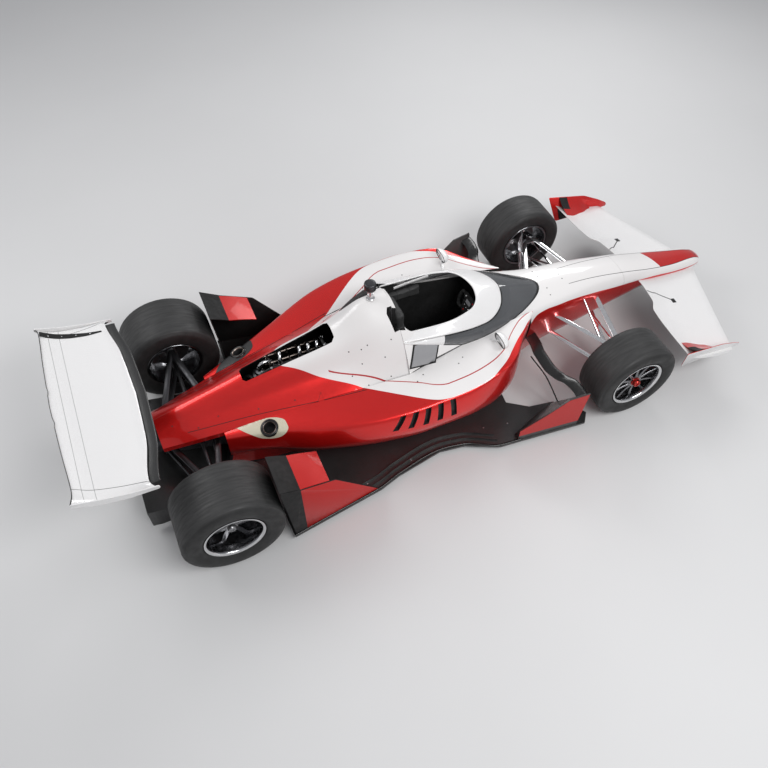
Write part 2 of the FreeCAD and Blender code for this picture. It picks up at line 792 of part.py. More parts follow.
gearbox_case = lofted([case_section(row) for row in case_shares])
crash_cone = lofted([case_section(row) for row in tail_shares])
starter_radius = 14
starter_depth = 90
starter_z = high((tail_shares[-1][2] + tail_shares[-1][3]) / 2)
starter_mouth = vec(station(tail_shares[-1][0]) - seat_gap, 0, starter_z)
starter_bore = rod(starter_mouth - X_AXIS * overrun, starter_mouth + X_AXIS * starter_depth, starter_radius)

# Output bosses on both sides of the case, bored for the driveshafts
boss_radius = 48
boss_reach = 165
shaft_radius = 17
shaft_bore_depth = 40
boss_centre = vec(rear_axle_x, 0, rear_tyre_radius)
boss_bar = tube_bar(boss_centre - Y_AXIS * boss_reach, boss_centre + Y_AXIS * boss_reach, boss_radius)
gearbox = fused([gearbox_case, crash_cone, boss_bar]).cut(starter_bore)
for side in (-1, 1):
    boss_face = vec(rear_axle_x, side * (boss_reach + seat_gap), rear_tyre_radius)
    boss_heel = vec(rear_axle_x, side * (boss_reach - shaft_bore_depth), rear_tyre_radius)
    gearbox = gearbox.cut(bore_bar(boss_face, boss_heel, shaft_radius + bore_gap))
save("gearbox", gearbox)

# Floor: flat plate with a stepped edge, and the tunnels' rising tail
floor_shares = [
    (0.190, 0.000), (0.190, 0.260), (0.262, 0.400), (0.272, 0.720), (0.225, 0.860), (0.165, 0.900),
    (0.122, 1.045), (0.105, 1.150), (0.125, 1.250), (0.294, 1.180), (0.347, 1.160), (0.424, 1.010),
    (0.487, 0.974), (0.604, 1.060), (0.655, 1.125), (0.764, 1.190), (0.878, 1.258), (0.882, 0.760),
    (0.900, 0.600), (0.900, 0.000),
]
tail_floor_front_share = 0.900
tail_floor_rear_share = 1.160
tail_floor_half_width = 490
tail_floor_rise = 175
fin_thickness = 8
fin_spacing = 240

floor_left = plate_xy([(station(s), wide(w)) for s, w in floor_shares], ride_height, floor_top_z)
tail_front_x = station(tail_floor_front_share)
tail_rear_x = station(tail_floor_rear_share)
tail_roof = plate_xz(
    [
        (tail_front_x, floor_top_z), (tail_rear_x, floor_top_z + tail_floor_rise),
        (tail_rear_x, ride_height + tail_floor_rise), (tail_front_x, ride_height),
    ],
    -tail_floor_half_width,
    tail_floor_half_width,
)


def tail_fin(y):
    return plate_xz(
        [
            (tail_front_x, ride_height), (tail_front_x, floor_top_z),
            (tail_rear_x, floor_top_z + tail_floor_rise), (tail_rear_x, floor_top_z),
            (tail_rear_x + overrun, ride_height),
        ],
        y - fin_thickness,
        y,
    )


fin_places = [tail_floor_half_width, fin_spacing, -fin_spacing + fin_thickness]
fin_places += [-tail_floor_half_width + fin_thickness]
save("floor", fused([floor_left, mirrored(floor_left), tail_roof] + [tail_fin(y) for y in fin_places]))

# Turning vanes: a wedge on the floor's edge, upright outside and sloped inside, and the curved
# blade that ties it to the tub. Each wedge row is the station of the foot and of the top edge,
# the height of the top edge, and how far inboard the inner foot lies
vane_wall = 8
vane_front_share, vane_front_width_share = 0.130, 1.235
vane_rear_share, vane_rear_width_share = 0.292, 1.165
vane_shares = [
    (0.147, 0.135, 0.344, 0.255), (0.175, 0.186, 0.334, 0.300), (0.240, 0.240, 0.214, 0.190),
    (0.300, 0.300, 0.104, 0.070),
]
blade_shares = [
    (0.160, 0.250, 0.340), (0.163, 0.430, 0.340), (0.170, 0.560, 0.340), (0.172, 0.760, 0.340),
    (0.163, 0.900, 0.340), (0.150, 1.010, 0.350), (0.147, 1.130, 0.355), (0.150, 1.222, 0.360),
]
blade_chord = 95
blade_thickness = 12


def line_between(start_share, start_width, end_share, end_width):
    """Y of a wall that runs straight in plan between two stations, as a function of x and z."""
    start_x = station(start_share)
    slope = (wide(end_width) - wide(start_width)) / (station(end_share) - start_x)
    return lambda x, z: wide(start_width) + (x - start_x) * slope


vane_line = line_between(vane_front_share, vane_front_width_share, vane_rear_share, vane_rear_width_share)


def vane_section(row):
    """Slanting section of the wedge: outer foot, outer top, inner top and inner foot."""
    foot_x = station(row[0])
    top_x = station(row[1])
    top_z = foot_z + high(row[2])
    outer_foot = vec(foot_x, vane_line(foot_x, 0), foot_z)
    outer_top = vec(top_x, vane_line(top_x, 0), top_z)
    return [outer_foot, outer_top, outer_top - Y_AXIS * vane_wall, outer_foot - Y_AXIS * wide(row[3])]


vane_fin = lofted([vane_section(row) for row in vane_shares])
blade_spots = [at_shares(row) for row in blade_shares]
vane_blade = lofted([lens(spot, blade_chord, blade_thickness) for spot in blade_spots])
turning_vane = vane_fin.fuse(vane_blade).removeSplitter().cut(tub_grown)
turning_vane = max(turning_vane.Solids, key=lambda solid: solid.BoundBox.YMax)
save("turning_vanes", pair(turning_vane))

# Ramps ahead of the rear tyres: an outer side panel that toes in, a bent top panel and a rear wall
ramp_wall = 8
ramp_front_width_share = 1.112
ramp_rear_width_share = 1.242
ramp_inner_share = 0.850
ramp_gap = 42
ramp_length = 660
ramp_foot_x = rear_axle_x + rear_tyre_radius + ramp_gap
ramp_side_shares = [(1.000, 0.000), (0.505, 0.405), (0.131, 0.493), (-0.075, 0.560), (0.000, 0.000)]
ramp_top_shares = [(0.440, 0.420), (0.131, 0.493), (-0.075, 0.560)]


def ramp_place(row):
    """X and Z of a point given as a share of the ramp's length ahead of its foot, and a height."""
    return ramp_foot_x + row[0] * ramp_length, foot_z + high(row[1])


def ramp_line(x, z):
    toe_in = wide(ramp_rear_width_share - ramp_front_width_share)
    return wide(ramp_rear_width_share) - toe_in * (x - ramp_foot_x) / ramp_length


ramp_tip_x = ramp_foot_x + ramp_length
ramp_side = plate_tilted([ramp_place(row) for row in ramp_side_shares], ramp_line, -ramp_wall)
ramp_space = polygon(
    [
        vec(ramp_tip_x, wide(ramp_inner_share), 0),
        vec(ramp_tip_x, wide(ramp_front_width_share), 0),
        vec(rear_axle_x, ramp_line(rear_axle_x, 0), 0),
        vec(rear_axle_x, wide(ramp_inner_share), 0),
    ]
).extrude(Z_AXIS * hoop_height)
ramp_top_points = [ramp_place(row) for row in ramp_top_shares]
ramp_top = plate_xz(
    ramp_top_points + [(x, z - ramp_wall) for x, z in reversed(ramp_top_points)],
    0,
    wide(ramp_rear_width_share) + overrun,
)
ramp_rear = plate_xz(
    [
        (ramp_foot_x, foot_z), (ramp_foot_x + ramp_wall, foot_z),
        (ramp_top_points[-1][0] + ramp_wall, ramp_top_points[-1][1] - ramp_wall), ramp_top_points[-1],
    ],
    0,
    wide(ramp_rear_width_share) + overrun,
)
save("wheel_ramps", pair(fused([ramp_side, ramp_top.common(ramp_space), ramp_rear.common(ramp_space)])))


# Wings: sections given as station, half width, height and slope of leading and trailing edges
def wing_section(lead, trail, thickness, camber):
    """Closed aerofoil outline between two edge points in a plane across the wing."""
    chord = trail - lead
    normal = Y_AXIS.cross(chord).normalize()
    if normal.z < 0:
        normal = normal * -1
    upper = [lead + chord * c + normal * (camber * h) for c, h in wing_upper_shares]
    lower = [
        lead + chord * c + normal * (camber * h - thickness * t)
        for c, h, t in reversed(wing_lower_shares)
    ]
    return outline([lead], upper, [trail], lower)


wing_upper_shares = [(0.04, 0.25), (0.25, -0.35), (0.50, -0.80), (0.75, -0.90)]
wing_lower_shares = [(0.02, 0.00, 0.50), (0.25, -0.35, 1.00), (0.50, -0.80, 0.90), (0.75, -0.90, 0.55)]

front_wing_thickness = 34
front_wing_camber = 18
front_wing_shares = [
    (-0.3840, -0.1810, 0.078, 0.283, 0.408), (-0.3720, -0.1804, 0.235, 0.280, 0.408),
    (-0.3600, -0.1760, 0.380, 0.278, 0.407), (-0.3520, -0.1710, 0.490, 0.276, 0.406),
    (-0.3434, -0.1550, 0.600, 0.274, 0.404), (-0.3269, -0.1500, 0.822, 0.267, 0.396),
    (-0.2925, -0.1467, 1.294, 0.253, 0.386),
]


def wing_edges(row):
    lead_share, trail_share, width_share, lead_height, trail_height = row
    y = wide(width_share)
    lead = vec(station(lead_share), y, high(lead_height))
    return lead, vec(station(trail_share), y, high(trail_height))


# Front endplates lean outward towards their top edge
endplate_wall = 8
endplate_shares = [
    (-0.322, 0.247), (-0.289, 0.247), (-0.147, 0.247), (-0.124, 0.472), (-0.244, 0.396), (-0.293, 0.325),
    (-0.322, 0.274),
]
endplate_foot_share = 1.190
endplate_lean = 0.25
endplate_low_z = high(endplate_shares[0][1])
endplate_outline = [(station(s), high(h)) for s, h in endplate_shares]


def endplate_line(x, z):
    return wide(endplate_foot_share) + (z - endplate_low_z) * endplate_lean


front_endplate = plate_tilted(endplate_outline, endplate_line, endplate_wall)
half_wing = lofted(
    [wing_section(*wing_edges(row), front_wing_thickness, front_wing_camber) for row in front_wing_shares]
)
outside = polygon(
    [
        vec(station(front_wing_shares[0][0]), endplate_line(0, 0) - seat_gap, 0),
        vec(station(front_wing_shares[0][0]), endplate_line(0, hoop_height) - seat_gap, hoop_height),
        vec(station(front_wing_shares[0][0]), front_track, hoop_height),
        vec(station(front_wing_shares[0][0]), front_track, 0),
    ]
).extrude(vec(front_axle_x - station(front_wing_shares[0][0]), 0, 0))
half_wing = half_wing.cut(nose_grown).cut(outside)
half_wing = max(half_wing.Solids, key=lambda solid: solid.BoundBox.YMax)
save("front_wing", pair(half_wing))
save("front_endplates", pair(front_endplate))

# Rear wing: leading edge bowed forward at the centre, with rolled tips
rear_wing_thickness = 30
rear_wing_camber = 34
rear_wing_shares = [
    (1.0935, 1.2556, 0.000, 0.823, 0.936), (1.0997, 1.2524, 0.497, 0.826, 0.930),
    (1.1152, 1.2491, 0.842, 0.830, 0.923), (1.1160, 1.2505, 0.889, 0.828, 0.921),
    (1.1130, 1.2540, 0.924, 0.818, 0.916), (1.1071, 1.2575, 0.944, 0.798, 0.906),
]


def flipped(edge):
    return vec(edge.x, -edge.y, edge.z)


left_edges = [wing_edges(row) for row in rear_wing_shares]
right_edges = [(flipped(lead), flipped(trail)) for lead, trail in left_edges[1:]]
rear_wing = lofted(
    [
        wing_section(lead, trail, rear_wing_thickness, rear_wing_camber)
        for lead, trail in list(reversed(left_edges)) + right_edges
    ]
)
save("rear_wing", rear_wing)

# Upright skirts along the rear wing's tips
rear_endplate_wall = 6
rear_endplate_shares = [
    (1.100, 0.785), (1.158, 0.790), (1.210, 0.822), (1.2593, 0.890), (1.2593, 0.922), (1.205, 0.870),
    (1.150, 0.832), (1.100, 0.812),
]
rear_endplate_y = left_edges[-1][0].y + seat_gap
rear_endplate = plate_xz(
    [(station(s), high(h)) for s, h in rear_endplate_shares],
    rear_endplate_y,
    rear_endplate_y + rear_endplate_wall,
)
save("rear_endplates", pair(rear_endplate))

# Pylons from the top of the crash cone to the wing's underside
pylon_thickness = 8
pylon_y = 28
pylon_foot_shares = (1.105, 1.168)
pylon_outline_shares = [(1.145, 0.610), (1.160, 0.880), (1.205, 0.900), (1.172, 0.610)]


def cone_top(share):
    front, rear = tail_shares
    part = (share - front[0]) / (rear[0] - front[0])
    return high(front[3] + (rear[3] - front[3]) * part) + seat_gap


pylon_points = [(station(s), cone_top(s)) for s in reversed(pylon_foot_shares)]
pylon_points += [(station(s), high(h)) for s, h in pylon_outline_shares]
pylon_plate = plate_xz(pylon_points, pylon_y, pylon_y + pylon_thickness)
pylon_plate = pylon_plate.cut(rear_wing.translated(Z_AXIS * -seat_gap)).cut(rear_wing)
pylon_plate = min(pylon_plate.Solids, key=lambda solid: solid.BoundBox.ZMin)
save("rear_wing_pylons", pair(pylon_plate))

# Mirrors on short stalks
mirror_centre_shares = (0.306, 0.618, 0.701)
mirror_foot_shares = (0.3136, 0.438, 0.604)
mirror_centre = at_shares(mirror_centre_shares)
mirror_foot = at_shares(mirror_foot_shares)
mirror_length = 60
mirror_half_width = 75
mirror_half_height = 34
mirror_stalk_radius = 7
mirror_sides = 10
mirror_shares = [(0.0, 0.94), (0.25, 1.0), (0.60, 0.86), (0.88, 0.55), (1.0, 0.25)]


def mirror_section(x_share, size_share):
    """Oval outline of the mirror housing at a share of its length."""
    x = mirror_centre.x + mirror_length * x_share
    y_size = mirror_half_width * size_share
    z_size = mirror_half_height * size_share
    turns = [2 * math.pi * (step + 1 / 2) / mirror_sides for step in range(mirror_sides)]
    return [
        vec(x, mirror_centre.y + y_size * math.cos(turn), mirror_centre.z + z_size * math.sin(turn))
        for turn in turns
    ]


mirror_body = lofted([mirror_section(*row) for row in mirror_shares])
mirror_stalk = tube_bar(mirror_foot, mirror_centre + X_AXIS * mirror_stalk_radius, mirror_stalk_radius)
mirror = mirror_body.fuse(mirror_stalk).removeSplitter().cut(tub_grown).cut(sidepod)
mirror = max(mirror.Solids, key=lambda solid: solid.Volume)
save("mirrors", pair(mirror))

# Camera pod on the roll hoop
camera_share = 0.558
camera_stem_radius = 20
camera_stem_height = 80
camera_radius = 42
camera_height = 60
camera_foot = vec(station(camera_share), 0, hoop_height)
camera_neck = camera_foot + Z_AXIS * camera_stem_height
camera_stem = tube_bar(camera_foot - Z_AXIS * overrun, camera_neck, camera_stem_radius)
camera_head = tube_bar(camera_neck, camera_neck + Z_AXIS * camera_height, camera_radius, pipe_panels)
camera_pod = camera_stem.fuse(camera_head).cut(cover_outer.translated(Z_AXIS * seat_gap)).cut(cover_outer)
camera_pod = max(camera_pod.Solids, key=lambda solid: solid.BoundBox.ZMax)
save("camera_pod", camera_pod)

# Front uprights turn about a kingpin inside the wheel; places are measured from the wheel centre
kingpin_inset = 85
ball_height = 120
eye_radius = 17
eye_height = 24
pin_radius = 9.7
upright_half_height = ball_height - eye_height / 2 - joint_gap
upright_half_chord = 42
upright_outer = 45
upright_inner = 95
upright_waist_share = 0.55
spindle_radius = 25
hub_bore_radius = spindle_radius + pin_gap
arm_width = 26
arm_thickness = 14
disc_radius = 140
disc_thickness = 30
disc_outer = -5
caliper_gap = 5
caliper_wall = 10
caliper_outer_radius = 164
caliper_inner_radius = 100
caliper_sweep = 54
caliper_parts = 4
kingpin_y = front_wheel_y - kingpin_inset
arm_z = rack_z + rack_eye_half_height + seat_gap + arm_thickness / 2


def caliper(centre, side):
    """Block that straddles the rim of the brake disc, behind the axle."""
    inner = disc_outer - disc_thickness - caliper_gap
    outer = disc_outer + caliper_gap
    slot = disc_radius + caliper_gap
    profile = [
        (inner - caliper_wall, caliper_inner_radius), (inner - caliper_wall, caliper_outer_radius),
        (outer + caliper_wall, caliper_outer_radius), (outer + caliper_wall, caliper_inner_radius),
        (outer, caliper_inner_radius), (outer, slot), (inner, slot), (inner, caliper_inner_radius),
    ]
    first = math.radians(180 - caliper_sweep / 2)
    steps = [first + math.radians(caliper_sweep) * k / caliper_parts for k in range(caliper_parts + 1)]
    return lofted([profile_at(profile, centre, side, angle) for angle in steps])


def upright_block(centre, side, half_height, inner_inset):
    """Tapered upright with a bored boss for the hub, on the inboard side of the wheel."""
    chord = upright_half_chord
    waist = chord * upright_waist_share
    profile = [
        (-waist, -half_height), (waist, -half_height), (chord, 0), (waist, half_height),
        (-waist, half_height), (-chord, 0),
    ]
    y_near = centre.y - side * upright_outer
    y_far = centre.y - side * inner_inset
    low, top = sorted((y_near, y_far))
    body = plate_xz([(centre.x + x, centre.z + z) for x, z in profile], low, top)
    lug_low, lug_top = sorted((y_near, y_near - side * caliper_wall))
    lug_reach = caliper_inner_radius + caliper_wall * 2
    lug = box(
        vec(centre.x - lug_reach, lug_low, centre.z - caliper_wall * 2),
        vec(centre.x - chord / 2, lug_top, centre.z + caliper_wall * 2),
    )
    block = fused([body, lug, caliper(centre, side)])
    bore_end = vec(centre.x, low - overrun, centre.z)
    bore_start = vec(centre.x, top + overrun, centre.z)
    return block.cut(bore_bar(bore_end, bore_start, hub_bore_radius))


def knuckle(side):
    centre = vec(front_axle_x, side * front_wheel_y, front_tyre_radius)
    body = upright_block(centre, side, upright_half_height, upright_inner)
    pin_y = side * kingpin_y
    pin_reach = ball_height + eye_height / 2 + joint_gap
    pin = rod(
        vec(front_axle_x, pin_y, front_tyre_radius - pin_reach),
        vec(front_axle_x, pin_y, front_tyre_radius + pin_reach),
        pin_radius,
    )
    bore = bore_bar(
        vec(front_axle_x, pin_y - side * overrun, front_tyre_radius),
        vec(front_axle_x, pin_y + side * overrun, front_tyre_radius),
        hub_bore_radius,
    )
    arm = plate_xy(
        [
            (front_axle_x, pin_y - arm_width / 2), (rack_x, pin_y - arm_width / 2),
            (rack_x, pin_y + arm_width / 2), (front_axle_x, pin_y + arm_width / 2),
        ],
        arm_z - arm_thickness / 2,
        arm_z + arm_thickness / 2,
    )
    eye_foot = vec(rack_x, pin_y, arm_z - arm_thickness / 2)
    eye = tube_bar(eye_foot, eye_foot + Z_AXIS * arm_thickness, arm_width / 2)
    return fused([body, pin, arm, eye]).cut(bore)


save("knuckle_left", knuckle(1))
save("knuckle_right", knuckle(-1))

# Steering rack: one bar with the track rods and their end eyes, sliding across the tub
rack_pieces = [tube_bar(vec(rack_x, -kingpin_y, rack_z), vec(rack_x, kingpin_y, rack_z), rack_radius)]
for side in (-1, 1):
    eye_foot = vec(rack_x, side * kingpin_y, rack_z - rack_eye_half_height)
    rack_pieces.append(tube_bar(eye_foot, eye_foot + Z_AXIS * (rack_eye_half_height * 2), rack_eye_radius))
save("steering_rack", fused(rack_pieces))

# Front wishbones, pushrod and their eyes around the kingpin
leg_chord = 46
leg_thickness = 16
pushrod_radius = 9
upper_eye_z = front_tyre_radius + ball_height
lower_eye_z = front_tyre_radius - ball_height
front_upper_inner_shares = [(-0.038, 0.209, 0.27), (0.096, 0.261, 0.18)]
front_lower_inner_shares = [(-0.053, 0.170, 0.26), (0.100, 0.222, 0.55)]
front_push_foot_y = kingpin_y - overrun
front_push_top_shares = (0.006, 0.222, 0.76)


def inboard(row, eye_z):
    """Inner end of a leg: station, half width, then its rise above the eye in shares of the ball height."""
    return vec(station(row[0]), wide(row[1]), eye_z + row[2] * ball_height)


front_upper_inner = [inboard(row, upper_eye_z) for row in front_upper_inner_shares]
front_lower_inner = [inboard(row, lower_eye_z) for row in front_lower_inner_shares]
front_push_top = inboard(front_push_top_shares, upper_eye_z)


def eye_ring(centre):
    half = Z_AXIS * (eye_height / 2)
    return tube_bar(centre - half, centre + half, eye_radius)


def front_suspension():
    upper = vec(front_axle_x, kingpin_y, upper_eye_z)
    lower = vec(front_axle_x, kingpin_y, lower_eye_z)
    pieces = [eye_ring(upper)] + [leg(upper, inner, leg_chord, leg_thickness) for inner in front_upper_inner]
    top_half = fused(pieces)
    pieces = [eye_ring(lower)] + [leg(lower, inner, leg_chord, leg_thickness) for inner in front_lower_inner]
    push_foot = vec(front_axle_x, front_push_foot_y, lower_eye_z)
    pieces.append(tube_bar(push_foot, front_push_top, pushrod_radius))
    low_half = fused(pieces)
    pin_hole = bore_bar(
        vec(front_axle_x, kingpin_y, 0), vec(front_axle_x, kingpin_y, hoop_height), pin_radius + pin_gap
    )
    parts = []
    for half in (top_half, low_half):
        trimmed = half.cut(tub_grown).cut(pin_hole)
        parts.append(max(trimmed.Solids, key=lambda s: s.BoundBox.YMax))
    return Part.makeCompound(parts)


front_left = front_suspension()
save("front_suspension_left", front_left)
save("front_suspension_right", mirrored(front_left))

# Rear uprights, wishbones, toe links and pushrods
rear_inset = 120
rear_ball_y = rear_wheel_y - rear_inset
rear_upper_inner = [at_shares(row) for row in [(0.955, 0.131, 0.358), (1.072, 0.105, 0.330)]]
rear_lower_inner = [at_shares(row) for row in [(0.930, 0.131, 0.179), (1.075, 0.092, 0.240)]]
rear_toe_inner = at_shares((1.082, 0.092, 0.280))
rear_push_top = at_shares((0.975, 0.118, 0.370))
rear_upright_half_height = 112
rear_ball_height = 96


def rear_suspension():
    upper = vec(rear_axle_x, rear_ball_y, rear_tyre_radius + rear_ball_height)
    lower = vec(rear_axle_x, rear_ball_y, rear_tyre_radius - rear_ball_height)
    legs = [leg(upper, inner, leg_chord, leg_thickness) for inner in rear_upper_inner]
    legs += [leg(lower, inner, leg_chord, leg_thickness) for inner in rear_lower_inner]
    return legs


def rear_upright(side):
    centre = vec(rear_axle_x, side * rear_wheel_y, rear_tyre_radius)
    return upright_block(centre, side, rear_upright_half_height, rear_inset)


rear_upright_left = rear_upright(1)
save("rear_uprights", Part.makeCompound([rear_upright_left, rear_upright(-1)]))
rear_groups = []
legs = rear_suspension()
toe_start = vec(rear_axle_x - upright_half_chord, rear_ball_y, rear_tyre_radius - ball_height / 2)
push_start = vec(rear_axle_x + leg_chord, rear_ball_y - overrun, rear_tyre_radius - rear_ball_height)
for group in (legs[:2], legs[2:] + [leg(push_start, rear_push_top, pushrod_radius * 2, pushrod_radius * 2)]):
    whole = fused(group).cut(rear_upright_left).cut(gearbox_case).cut(crash_cone)
    rear_groups.append(max(whole.Solids, key=lambda s: s.Volume))
toe = leg(toe_start, rear_toe_inner, leg_chord / 2, leg_thickness)
toe = toe.cut(rear_upright_left).cut(gearbox_case).cut(crash_cone)
rear_groups.append(max(toe.Solids, key=lambda s: s.Volume))
rear_left = Part.makeCompound(rear_groups)
save("rear_suspension_left", rear_left)
save("rear_suspension_right", mirrored(rear_left))

# Wheels: slick tyres, dished rims with spokes, and hubs with brake discs
rim_wall = 6
rim_inset = 12
rim_flange = 7
tyre_shoulder = 26
tyre_bulge_share = 0.55
bead_lean = 5
spoke_face_depth = 24
hub_flange_radius = 52
hub_barrel_radius = 40
nut_radius = 36
nut_length = 34
nut_top_share = 0.7
spoke_root_share = 0.8
shaft_end_y = boss_reach - shaft_bore_depth + joint_gap


def tyre(centre, radius, width):
    """Slick tyre as one ring, from the bead seat to the flat tread."""
    half = width / 2
    bead = half - rim_inset - rim_flange - bead_lean
    bulge = rim_lip_radius + (radius - rim_lip_radius) * tyre_bulge_share
    side = [(bead, bead_radius + seat_gap), (half, bulge), (half - tyre_shoulder, radius)]
    profile = side + [(-out, r) for out, r in reversed(side)]
    return turned(profile, centre, 1, tyre_panels, 1 / math.cos(math.pi / tyre_panels))


def rim(centre, side, width, face_out, count, spoke_width, foot_width_share):
    """Dished rim: a barrel with two flanges, a boss on the hub and a pattern of tapered spokes."""
    half = width / 2 - rim_inset
    outer = [(half, rim_lip_radius), (half - rim_flange, bead_radius)]
    outer += [(-out, r) for out, r in reversed(outer)]
    inner = [(-half, bead_radius - rim_wall), (half, bead_radius - rim_wall)]
    barrel = turned(outer + inner, centre, side, barrel_panels)
    near = centre + Y_AXIS * (side * face_out)
    far = near - Y_AXIS * (side * spoke_face_depth)
    low_y, high_y = sorted((near.y, far.y))
    pieces = [barrel, tube_bar(far, near, hub_flange_radius, pipe_panels)]
    foot = spoke_width * foot_width_share
    inner_z = centre.z + hub_flange_radius * spoke_root_share
    outer_z = centre.z + bead_radius - rim_wall / 2
    for index in range(count):
        spoke = plate_xz(
            [
                (centre.x - foot / 2, inner_z), (centre.x + foot / 2, inner_z),
                (centre.x + spoke_width / 2, outer_z), (centre.x - spoke_width / 2, outer_z),
            ],
            low_y,
            high_y,
        )
        spoke.rotate(centre, Y_AXIS, index * 360 / count)
        pieces.append(spoke)
    return fused(pieces).cut(bore_bar(far - Y_AXIS * side, near + Y_AXIS * side, hub_bore_radius))


def nut_outline(centre, radius):
    """Outline of the wheel nut across the axle."""
    turns = [2 * math.pi * k / tube_panels for k in range(tube_panels)]
    return [centre + vec(radius * math.cos(turn), 0, radius * math.sin(turn)) for turn in turns]


def hub(centre, side, face_out, inner_reach, shaft_end):
    """Brake disc, barrel and wheel nut on a round spindle, with the driveshaft behind a driven wheel."""
    outward = Y_AXIS * side
    shoulder = centre + outward * (face_out - spoke_face_depth - seat_gap)
    disc_face = centre + outward * disc_outer
    nut_foot = centre + outward * (face_out + seat_gap)
    nut_top = nut_foot + outward * nut_length
    spindle_end = centre - outward * inner_reach
    pieces = [
        tube_bar(disc_face - outward * disc_thickness, disc_face, disc_radius, disc_panels),
        tube_bar(disc_face, shoulder, hub_barrel_radius, pipe_panels),
        rod(spindle_end, disc_face, spindle_radius),
        tube_bar(disc_face, nut_foot, spindle_radius, pipe_panels),
        lofted([nut_outline(nut_foot, nut_radius), nut_outline(nut_top, nut_radius * nut_top_share)]),
    ]
    if shaft_end:
        pieces.append(tube_bar(vec(centre.x, side * shaft_end, centre.z), spindle_end, shaft_radius))
    return fused(pieces)


# Front and rear wheels: place and size, the face of the hub and the pattern of spokes
front_face_out = 106
front_spoke_count = 10
front_spoke_width = 18
front_foot_share = 1.3
rear_face_out = 90
rear_spoke_count = 7
rear_spoke_width = 28
rear_foot_share = 1.6

for side, hand in ((1, "left"), (-1, "right")):
    front = vec(front_axle_x, side * front_wheel_y, front_tyre_radius)
    rear = vec(rear_axle_x, side * rear_wheel_y, rear_tyre_radius)
    save("tyre_front_" + hand, tyre(front, front_tyre_radius, front_tyre_width))
    save("tyre_rear_" + hand, tyre(rear, rear_tyre_radius, rear_tyre_width))
    front_spokes = (front_spoke_count, front_spoke_width, front_foot_share)
    rear_spokes = (rear_spoke_count, rear_spoke_width, rear_foot_share)
    save("rim_front_" + hand, rim(front, side, front_tyre_width, front_face_out, *front_spokes))
    save("rim_rear_" + hand, rim(rear, side, rear_tyre_width, rear_face_out, *rear_spokes))
    save("hub_front_" + hand, hub(front, side, front_face_out, upright_inner, 0))
    save("hub_rear_" + hand, hub(rear, side, rear_face_out, rear_inset, shaft_end_y))
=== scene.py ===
from math import copysign, cos, exp, pi, radians, sin

import bmesh
import bpy
from mathutils import Matrix, Vector
from mathutils.bvhtree import BVHTree


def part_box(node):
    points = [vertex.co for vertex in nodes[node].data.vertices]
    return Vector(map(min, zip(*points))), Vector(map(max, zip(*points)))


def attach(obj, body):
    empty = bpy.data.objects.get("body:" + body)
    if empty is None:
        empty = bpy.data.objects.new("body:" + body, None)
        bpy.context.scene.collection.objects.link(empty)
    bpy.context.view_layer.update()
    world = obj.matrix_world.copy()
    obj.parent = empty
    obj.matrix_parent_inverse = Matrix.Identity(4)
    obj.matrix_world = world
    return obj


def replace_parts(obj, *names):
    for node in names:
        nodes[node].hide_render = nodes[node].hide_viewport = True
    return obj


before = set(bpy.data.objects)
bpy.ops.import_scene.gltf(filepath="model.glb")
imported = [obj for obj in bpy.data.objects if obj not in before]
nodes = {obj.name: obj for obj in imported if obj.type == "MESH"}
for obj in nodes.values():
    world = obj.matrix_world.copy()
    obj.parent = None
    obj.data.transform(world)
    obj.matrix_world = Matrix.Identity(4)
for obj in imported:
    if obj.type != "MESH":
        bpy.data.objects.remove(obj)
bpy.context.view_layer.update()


# Driving sizes, read from the frame, in metres
def middle(node):
    low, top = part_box(node)
    return (low + top) / 2


front_axle = middle("tyre_front_left")
rear_axle = middle("tyre_rear_left")
wheelbase = front_axle.x - rear_axle.x
half_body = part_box("sidepod_left")[1].y
hoop_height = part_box("engine_cover")[1].z / 0.991
foot_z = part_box("monocoque")[0].z
seam_gap = 0.0005
weld_distance = 0.00002
DOWN = Vector((0, 0, -1))
UP = Vector((0, 0, 1))
ENDS = ("front", "rear")


def station(share):
    """X of a place given as a share of the wheelbase behind the front axle."""
    return front_axle.x - share * wheelbase


def wide(share):
    return share * half_body


def high(share):
    return share * hoop_height


# Points and curves
def sided(points, side):
    """Points of the left side, or their mirror images where the side is -1."""
    return [Vector((x, side * y, z)) for x, y, z in points]


def both_sides(build, *extra):
    """Calls a builder once a side, with side 1 for left and -1 for right."""
    return [build(side, hand, *extra) for side, hand in ((1, "left"), (-1, "right"))]


def circle(parts, power_c=1, power_s=1):
    """Cosines and sines around a circle, squared off where the powers are under 1."""
    turns = [2 * pi * k / parts for k in range(parts)]
    return [(copysign(abs(cos(a)) ** power_c, cos(a)), copysign(abs(sin(a)) ** power_s, sin(a))) for a in turns]


def neighbours(path):
    """Each point of a path with the step from the point before it to the point after it."""
    last = len(path) - 1
    return [(p, path[min(i + 1, last)] - path[max(i - 1, 0)]) for i, p in enumerate(path)]


def slopes(xs, ys):
    """Slopes of a smooth curve through the points that never overshoots them."""
    steps = [(ys[i + 1] - ys[i]) / (xs[i + 1] - xs[i]) for i in range(len(xs) - 1)]
    inner = [0 if a * b <= 0 else 2 * a * b / (a + b) for a, b in zip(steps, steps[1:])]
    return [steps[0]] + inner + [steps[-1]]


def curve_at(xs, ys, x):
    tangents = slopes(xs, ys)
    i = max(k for k in range(len(xs) - 1) if xs[k] <= x or k == 0)
    width = xs[i + 1] - xs[i]
    t = (x - xs[i]) / width
    h00 = (1 + 2 * t) * (1 - t) ** 2
    h10 = t * (1 - t) ** 2
    h01 = t * t * (3 - 2 * t)
    h11 = t * t * (t - 1)
    return h00 * ys[i] + h10 * width * tangents[i] + h01 * ys[i + 1] + h11 * width * tangents[i + 1]


